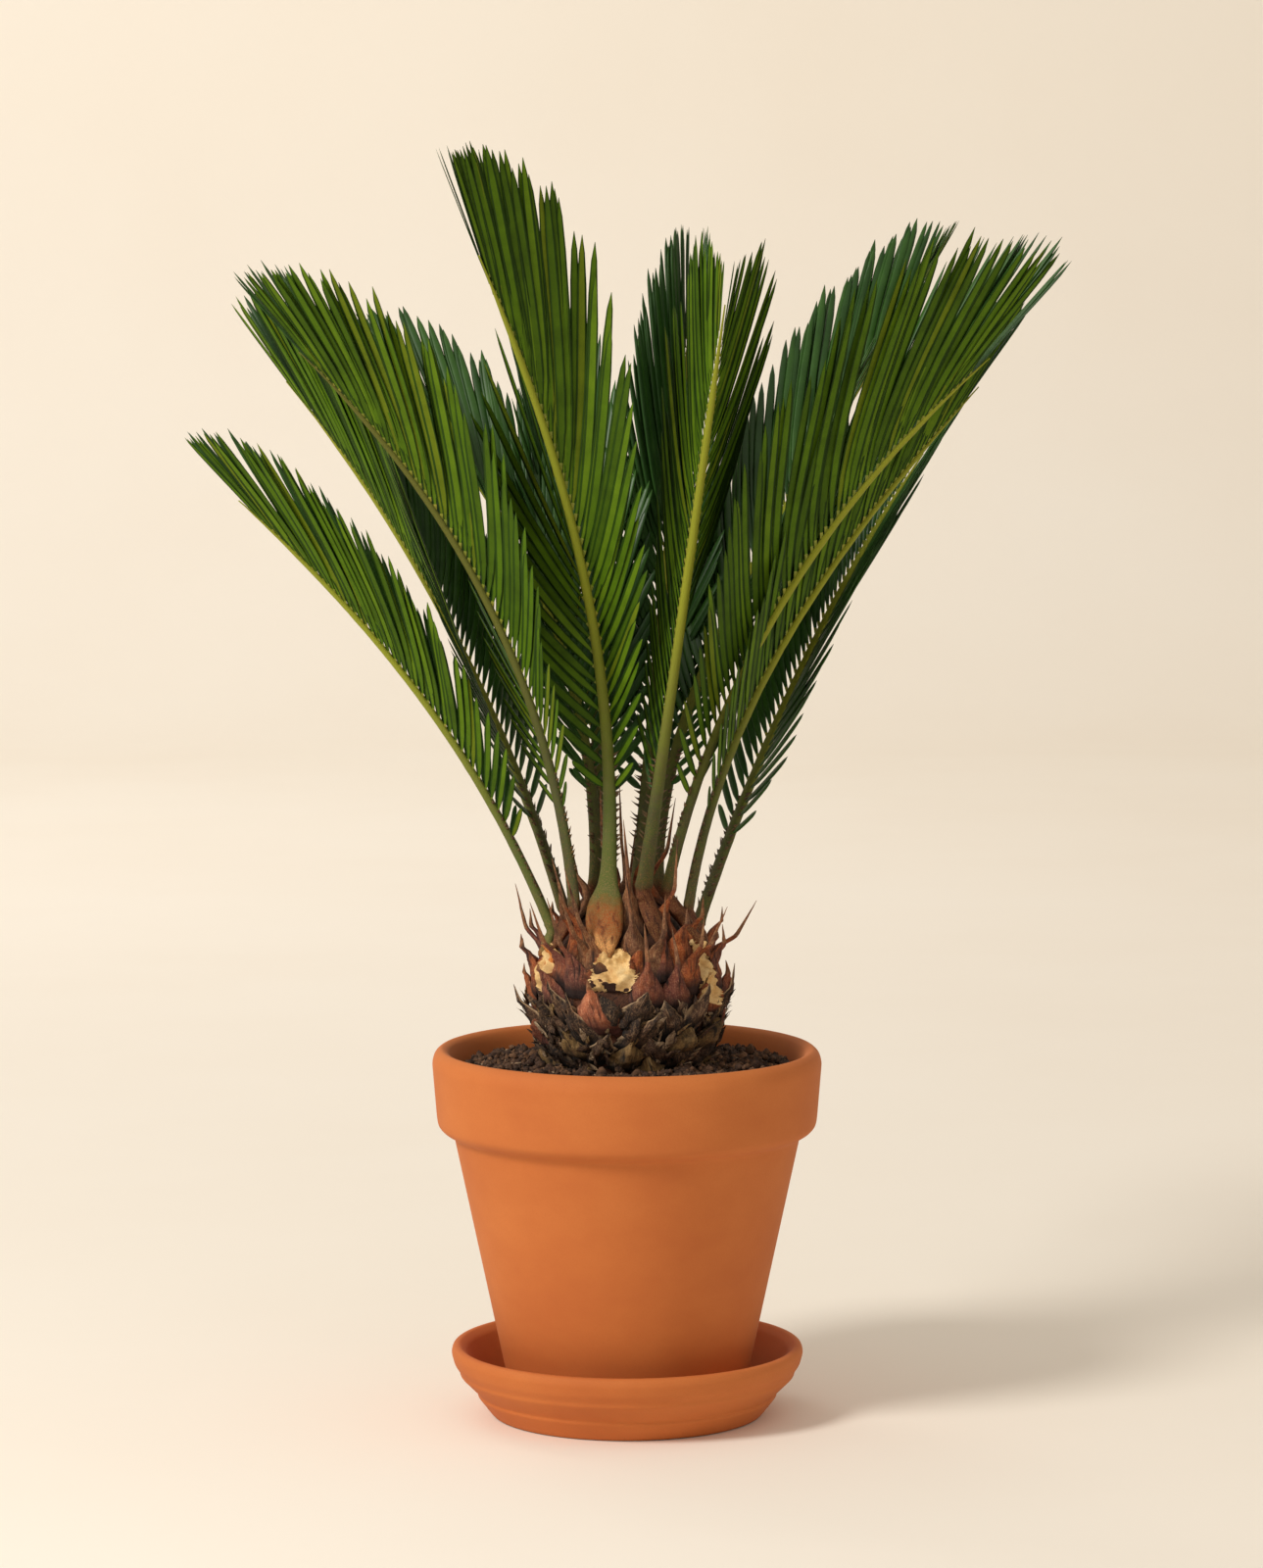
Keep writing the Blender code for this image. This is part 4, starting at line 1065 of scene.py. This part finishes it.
def makeRib(name, row, random, plan):
    # rings of points along the rib, flatter on the face side. Below the crown the rings run on as the felted
    # foot, whose direction goes over from the trunk's to the rib's
    azimuth, footRadius, length = row[0], row[1], row[5]
    last = plan["last"] + frond["pastLast"] / length
    where = np.concatenate([np.linspace(0.004 / length, 0.06, 12), np.linspace(0.06, last, 62)[1:]])
    centre, along, face, across = ribFrames(row, where)
    half, thick = ribSize(where)
    taper = np.interp(where, (last - frond["thinFrom"], last), (1.0, frond["thinTo"]))
    half, thick = half * taper, thick * taper
    half = half * (1 + (0.75 * plan["wide"] - 0.27) * np.exp(-where * length / 0.010))

    up = np.linspace(0, foot["top"], foot["rings"])
    top = runAtRadius(footRadius)
    reach = min(max(top - foot["lowest"], foot["shortest"]), foot["deepest"])
    place, normal, around, _ = onTrunkPlaces(azimuth + plan["footTurn"] * (1 - up), top - reach * (1 - up))
    ease = easeInOut((up - 0.5) / 0.5)[:, None]
    target = centre[0] + along[0] * ((up - foot["joins"]) * foot["joinStep"])[:, None]
    footCentre = (place - normal * foot["sunk"]) * (1 - ease) + target * ease
    footAcross = unit(around * -1 * (1 - ease) + across[0] * ease)
    footFace = unit(-normal * (1 - ease) + face[0] * ease)
    footHalf = curveAt(up, foot["half"]) * plan["wide"]
    footThick = curveAt(up, foot["thick"]) * (0.4 + 0.6 * plan["wide"])

    centre = np.vstack([footCentre, centre])
    across = np.vstack([footAcross, across])
    face = np.vstack([footFace, face])
    half = np.concatenate([footHalf, half])[:, None]
    thick = np.concatenate([footThick, thick])[:, None]
    rise = np.concatenate([(up - 1) * reach, where * length])
    turn = roundTurn(frond["sides"])
    flat = np.where(np.sin(turn) > 0, frond["above"], frond["below"]) * np.sin(turn)
    rings = centre[:, None] + across[:, None] * (half * np.cos(turn))[..., None]
    rings = rings + face[:, None] * (thick * flat)[..., None]
    rough = 0.0009 * np.clip(0.6 - rise / 0.012, 0, 1) + 0.0001
    rings = rings + (rough[:, None] * sineNoise(rings, 0.005, 81))[..., None] * face[:, None]
    layout = np.stack([(turn / 6.28 * 0.02)[None] + 0 * rise[:, None], rise[:, None] + 0 * turn[None]], -1)

    # rib and spines become one piece
    spinePoints, spineFaces = makeSpines(row, random)
    ribCount, spineCount = rings.size // 3, spinePoints.size // 3
    faces = gridFaces(len(rise), frond["sides"])
    faces = [faces[0], spineFaces[0] + ribCount, faces[1], spineFaces[1] + ribCount]
    points = np.concatenate([rings.reshape(-1, 3), spinePoints.reshape(-1, 3)])
    looks = np.repeat((0, 1, 0, 1), [len(part) for part in faces])
    layout = np.concatenate([layout.reshape(-1, 2), np.zeros((spineCount, 2))])
    marks = {"rise": np.concatenate([np.repeat(rise, frond["sides"]), np.full(spineCount, 0.5)])}
    addPiece(name, points, faces, [plan["stalk"], spineBrown], looks, marks, layout)


# Leaflets. The pairs are (place, value): place along the rows for angle, spread and length, and along the
# leaflet for outline; the section is eight points across and up, as shares of the half width
leaflet = dict(
    crowd=0.80, astray=0.0016, sweep=0.018, knots=26,
    angle=((0, 68), (0.15, 58), (0.4, 48), (0.7, 40), (0.9, 33), (1, 24)),
    astrayAngle=((0, 1.2), (0.75, 1.6), (1, 4.5)),
    length=((0, 0.16), (0.04, 0.36), (0.10, 0.50), (0.2, 0.64), (0.32, 0.80), (0.45, 0.93), (0.6, 1.0),
            (0.75, 0.95), (0.87, 0.76), (0.95, 0.56), (1, 0.38)),
    width=((0, 0.72), (0.06, 0.90), (0.30, 1), (0.88, 1), (0.95, 0.66), (1, 0.45)),
    outline=((0.0, 0.36), (0.04, 0.36), (0.10, 0.56), (0.20, 0.88), (0.34, 1.0), (0.50, 1.0), (0.68, 1.0),
             (0.84, 0.88), (0.94, 0.58), (1.0, 0.05)),
    section=((-1, -0.24), (-0.62, 0.10), (0, 0.0), (0.62, 0.10), (1, -0.24), (0.6, -0.06), (0, -0.26),
             (-0.6, -0.06)),
)
leafLooks = [leafUpper, leafUpperDeep, leafUnder, leafUnderPale, leafBase, leafUnderDeep, leafUnderWarm,
             leafEdgeShade]


def leafletEnds(row, random, plan):
    # share, the leaflets' places along their rows, then their feet and tips, and the rib's direction and
    # face at the feet. A tip lies where the source's rule puts that of a leaflet further up the rib, at an
    # angle off the rib that sways from leaflet to leaflet, in a row that is folded up by the keel angle
    length, longest, fold = row[5:8]
    start = frond["petiole"] / length
    end = 1 - frond["tuft"] / length
    count = int(round((end - start) * length / plan["pitch"]))
    share = np.repeat(((np.arange(count) + 0.5) / count) ** leaflet["crowd"], 2)
    share = np.clip(share + random.normal(0, leaflet["astray"], len(share)), 0, 1)
    side = np.tile((1.0, -1.0), count)
    sweep = leaflet["sweep"] / length
    where = start - sweep * (1 - share) + (plan["last"] - start) * share
    centre, along, face, across = ribFrames(row, where)
    half, thick = ribSize(where)
    base = centre + side[:, None] * across * (half * 0.72)[:, None] + face * (thick * 0.25)[:, None]
    far = share + (1 - (1 - share) ** plan["lead"] - share) * easeInOut((share - 0.12) / 0.5)
    tipWhere = start + (end - start) * far - sweep * (1 - share) ** 6
    tipCentre, tipAlong, tipFace, tipAcross = ribFrames(row, tipWhere)

    knots = random.normal(0, 1, (2, leaflet["knots"])) * np.linspace(0.8, 2.4, leaflet["knots"])
    stops = np.linspace(0, 1, leaflet["knots"])
    sway = np.where(side > 0, *(np.interp(share, stops, knot) for knot in knots))
    angle = curveAt(far, leaflet["angle"])
    angle = angle + random.normal(0, 1, len(share)) * curveAt(share, leaflet["astrayAngle"])
    angle = np.radians(angle + sway)[:, None]
    keel = np.interp(share, (0, 0.2, 0.35, 0.55, 1), (*plan["keels"], fold, fold + 4))
    keel = keel + random.normal(0, 1.5, len(share))
    swung = easeInOut((share - 0.25) / 0.25) * easeInOut((1 - share) / 0.08)
    keel = keel + np.where(side > 0, plan["turned"][0], plan["turned"][1]) * swung
    keel = np.radians(keel)[:, None]
    lateral = side[:, None] * tipAcross * np.cos(keel) + tipFace * np.sin(keel)
    direction = np.cos(angle) * tipAlong + np.sin(angle) * lateral
    places, sizes = np.array(leaflet["length"]).T
    sizes[-2:] *= plan["tip"], plan["tip"] ** 2
    long = np.interp(far, places, sizes) * frond["longest"] * longest * random.uniform(0.90, 1.04, len(share))
    tip = tipCentre + long[:, None] * (direction + 0.5 * frond["curl"] * tipAlong)
    return share, base, tip, along, face


def makeLeaflets(name, row, node, random, plan):
    # both rows of leaflets. A leaflet's middle line is the straight one from foot to tip, less bow length
    # u (1 - u)^1.5 along the rib; across it lies an eight point section with rolled down edges and a keel
    # below, its half width following an outline of u
    share, base, tip, along, face = leafletEnds(row, random, plan)
    reach = tip - base
    long = np.linalg.norm(reach, axis=1)
    u, outline = np.array(leaflet["outline"]).T
    place = u[None, :, None]
    bow = frond["bow"] * (0.3 + 0.7 * easeInOut((share - 0.05) / 0.5))[:, None, None]
    bow = bow * place * (1 - place) ** 1.5
    line = base[:, None] + place * reach[:, None] - bow * long[:, None, None] * along[:, None]
    heading = unit(np.gradient(line, u, axis=1))
    edge = unit(along[:, None] - (along[:, None] * heading).sum(-1, keepdims=True) * heading)
    top = np.cross(heading, edge)
    top *= np.sign((top * face[:, None]).sum(-1, keepdims=True) + 1e-9)
    twist = np.radians(random.normal(0, 3, len(share)))[:, None, None] * place
    edge, top = edge * np.cos(twist) + top * np.sin(twist), top * np.cos(twist) - edge * np.sin(twist)
    half = (plan["width"] / 2 * curveAt(share, leaflet["width"]))[:, None] * outline
    section = np.array(leaflet["section"])
    ring = line[:, :, None] + edge[:, :, None] * (half[..., None] * section[:, 0])[..., None]
    ring = ring + top[:, :, None] * (half[..., None] * section[:, 1])[..., None]

    # finishes by number in leafLooks: two greens above, four below, painted shade on the rolled edges, the
    # feet pale
    corners = len(section)
    cell = np.arange((len(u) - 1) * corners)
    column, ringOf = cell % corners, cell // corners
    tone = random.uniform(size=len(share))
    above = np.where(tone < 0.5, 0, 1)
    below = np.select([tone < 0.34, tone < 0.60, tone < 0.88], [2, 3, 5], 6)
    looks = np.where((column < 4)[None], above[:, None], below[:, None])
    # painted shade: the strips along the rolled edges below take the dark edge green
    looks = np.where(np.isin(column, (4, 7))[None], 7, looks)
    looks = np.where((ringOf < 1)[None], 4, looks).ravel()
    looks = np.concatenate([looks, np.tile((4, 0), len(share))])
    faces = gridFaces(len(u), corners, len(share))
    addPiece(name, ring, faces, leafLooks, looks, stands=[node])


# What is set per frond. lead: how far the leaflets' tips run on up the rib; pitch and width of the
# leaflets; short: how far below the tip's tuft the last leaflets sit; keels: the fold at three places low
# down, in degrees; turned: degrees by which the two rows fold further, higher up; tip: size of the last
# leaflets; stalk: its finish; footTurn and wide: turn and width of its foot. First those of a plain frond,
# then what differs.
plainPlan = dict(lead=1.15, pitch=0.0058, width=0.0052, short=0.030, keels=(6, 18, 34), turned=(0, 0),
                 tip=1.0, stalk=stalkGreen, footTurn=0.0, wide=0.52)
plans = {
    "frond_01_front_left": dict(lead=1.6, pitch=0.0076, width=0.0057, short=0.040, keels=(-24, -20, 0),
                                turned=(34, 0), stalk=stalkBright, footTurn=17.0, wide=1.0),
    # frond_03's stalk takes the shaded copy of the green stalk, its rib darkened by painted shade
    "frond_03_left_front": dict(stalk=stalkGreenShaded, keels=(-6, 4, 26)),
    "frond_04_front_right": dict(keels=(84, 84, 78), short=0.014, tip=0.75, turned=(6, -12)),
    "frond_05_left_low": dict(stalk=stalkBright, keels=(46, 48, 48), pitch=0.0054, width=0.0044),
}

for number, (node, row) in enumerate(frondRows.items()):
    short = node.replace("frond_", "")
    random = np.random.RandomState(100 + number)
    plan = {**plainPlan, **plans.get(node, {})}
    plan["last"] = 1 - (frond["tuft"] + plan["short"]) / row[5]
    makeRib("rib_" + short, row, random, plan)
    makeLeaflets("leaflets_" + short, row, node, random, plan)
print("fronds grown")


# Studio: pale floor that runs up into a backdrop, a soft key light from the upper left, cream surroundings

studio = dict(
    wide=14.0, front=-14.0, back=4.0, bend=0.9, high=4.5, bendSteps=24, columns=9,
    air=(1.0, 0.915, 0.815, 1.0), airStrength=0.55,
    viewer=(0.0, -2.9, 0.655), downward=0.1018, sensor=36.0,
    focus=5290.0, shift=4.5, frameHeight=1600.0,  # in pixels of the photo
)


def makeBackdrop():
    # a strip carried across: flat floor, a quarter circle, then a wall
    turn = np.linspace(0, np.pi / 2, studio["bendSteps"])
    front, back, bend = studio["front"], studio["back"], studio["bend"]
    y = np.concatenate([[front], back + bend * np.sin(turn), [back + bend]])
    z = np.concatenate([[0.0], bend * (1 - np.cos(turn)), [studio["high"]]])
    x = np.linspace(-studio["wide"], studio["wide"], studio["columns"])
    points = np.stack([x[None] + 0 * y[:, None], y[:, None] + 0 * x, z[:, None] + 0 * x], -1)
    mesh = bpy.data.meshes.new("backdrop")
    cells = gridFaces(len(y), len(x), wrap=False, caps=False)[0]
    mesh.from_pydata(points.reshape(-1, 3).tolist(), [], cells.tolist())
    mesh.polygons.foreach_set("use_smooth", np.ones(len(cells), bool))
    paper = earthLook("creamPaper", (250, 243, 231), (251, 245, 234), (248, 240, 227), 1.2, 60.0, 0.05, 0.9,
                      0.02, 0.0002)
    mesh.materials.append(paper)
    backdrop = bpy.data.objects.new("backdrop", mesh)
    bpy.context.scene.collection.objects.link(backdrop)


def addAreaLight(name, place, target, size, power, colour):
    # a round light at a place, turned so that its -Z looks at the target
    light = bpy.data.lights.new(name, "AREA")
    light.shape = "DISK"
    light.size = size
    light.energy = power
    light.color = colour
    lamp = bpy.data.objects.new(name, light)
    bpy.context.scene.collection.objects.link(lamp)
    lamp.location = place
    heading = np.array(target, float) - np.array(place, float)
    flat = math.hypot(heading[0], heading[1])
    lamp.rotation_euler = (math.atan2(flat, -heading[2]), 0.0, math.atan2(-heading[0], heading[1]))


def makeStudio():
    # backdrop, lights, surroundings and the photo's camera
    makeBackdrop()
    addAreaLight("keyLight", (-1.92, -1.56, 2.05), (0.0, 0.0, 0.30), 0.9, 62.0, (1.0, 0.965, 0.915))
    addAreaLight("wallLight", (-1.5, 2.3, 2.7), (-0.8, 4.0, 0.6), 1.8, 34.0, (1.0, 0.985, 0.97))
    scene = bpy.context.scene
    world = bpy.data.worlds.new("studioAir")
    world.use_nodes = True
    air = world.node_tree.nodes["Background"].inputs
    air["Color"].default_value = studio["air"]
    air["Strength"].default_value = studio["airStrength"]
    scene.world = world
    scene.view_settings.view_transform = "Standard"
    camera = bpy.data.cameras.new("photoView")
    camera.sensor_width = studio["sensor"]
    camera.lens = studio["focus"] / studio["frameHeight"] * studio["sensor"]
    camera.shift_x = studio["shift"] / studio["frameHeight"]
    viewer = bpy.data.objects.new("photoView", camera)
    scene.collection.objects.link(viewer)
    viewer.location = studio["viewer"]
    viewer.rotation_euler = (math.pi / 2 - studio["downward"], 0.0, 0.0)
    scene.camera = viewer


makeStudio()
print("studio set")
